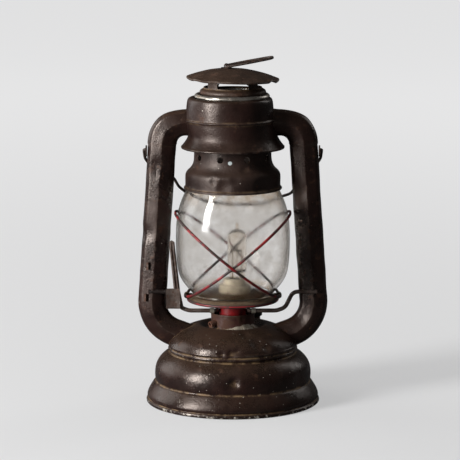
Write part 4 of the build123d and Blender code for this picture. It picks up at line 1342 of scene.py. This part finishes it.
studio = {"floorRadius": 14000, "floorTone": (0.38, 0.38, 0.38), "bounceTone": (0.09, 0.09, 0.09),
          "glowCentre": (-0.5, -0.6, 0.0), "glowReach": (0.4, 2.8), "glowNear": 0.395, "glowFar": 0.675,
          "world": 0.19, "worldGloss": 0.035,
          "camera": {"elevation": 9.5, "distance": 1.75, "aim": (-0.0020, 0.0, 0.1226), "width": 0.3248}}
floorBuild = bmesh.new()
bmesh.ops.create_circle(floorBuild, cap_ends=True, segments=96, radius=studio["floorRadius"])
floorMesh = meshOf("studioFloor", floorBuild)
floor = linked("studioFloor", floorMesh)
floorMaterial, floorTree, floorShader = startMaterial("paleFloor")
floorShader.inputs["Roughness"].default_value = 0.9
rays = addNode(floorTree, "ShaderNodeLightPath").outputs
seen = calc(floorTree, "MAXIMUM", rays["Is Camera Ray"], rays["Is Transmission Ray"])
floorColour = blendColour(floorTree, seen, studio["bounceTone"], studio["floorTone"])
floorTree.links.new(floorColour, floorShader.inputs["Base Color"])
glow = spread(floorTree, awayFrom(floorTree, studio["glowCentre"]), *studio["glowReach"],
              studio["glowNear"], studio["glowFar"])
floorTree.links.new(times(floorTree, seen, glow), floorShader.inputs["Emission Strength"])
floorShader.inputs["Emission Color"].default_value = (1.0, 1.0, 1.005, 1.0)
floorMesh.materials.append(floorMaterial)

world = bpy.data.worlds.new("softStudio")
world.use_nodes = True
background = world.node_tree.nodes["Background"]
background.inputs["Color"].default_value = (1.0, 1.0, 1.01, 1.0)
worldRays = addNode(world.node_tree, "ShaderNodeLightPath").outputs
dimmed = spread(world.node_tree, worldRays["Is Glossy Ray"], 0.0, 1.0, studio["world"], studio["worldGloss"])
world.node_tree.links.new(dimmed, background.inputs["Strength"])
bpy.context.scene.world = world

lights = {
    "tallKey": {"power": 41.0, "size": (0.42, 1.15), "azimuth": -57.0, "elevation": 16.5, "away": 1.7},
    "leftFill": {"power": 8.0, "size": (1.2, 1.1), "azimuth": -115.0, "elevation": 17.0, "away": 1.7},
    "backRim": {"power": 3.0, "size": (0.4, 1.0), "azimuth": 125.0, "elevation": 30.0, "away": 1.8},
}
for name, light in lights.items():
    lamp = bpy.data.lights.new(name, "AREA")
    lamp.shape = "RECTANGLE"
    lamp.size, lamp.size_y = light["size"]
    lamp.energy = light["power"]
    holder = linked(name, lamp)
    a, e = math.radians(light["azimuth"]), math.radians(light["elevation"])
    back = Vector((math.sin(a) * math.cos(e), -math.cos(a) * math.cos(e), math.sin(e)))
    holder.location = Vector((0, 0, 0.12)) + back * light["away"]
    holder.rotation_euler = (-back).to_track_quat("-Z", "Y").to_euler()

shot = studio["camera"]
camera = linked("camera", bpy.data.cameras.new("camera"))
tiltDown = math.radians(shot["elevation"])
lookFrom = Vector((0, -math.cos(tiltDown), math.sin(tiltDown)))
camera.location = Vector(shot["aim"]) + lookFrom * shot["distance"]
camera.rotation_euler = (math.radians(90) - tiltDown, 0, 0)
camera.data.sensor_width = 36.0
camera.data.lens = 36.0 * shot["distance"] / shot["width"]
camera.data.clip_end = 60.0
bpy.context.scene.camera = camera
bpy.context.scene.view_settings.view_transform = "Standard"

print("scene ready")
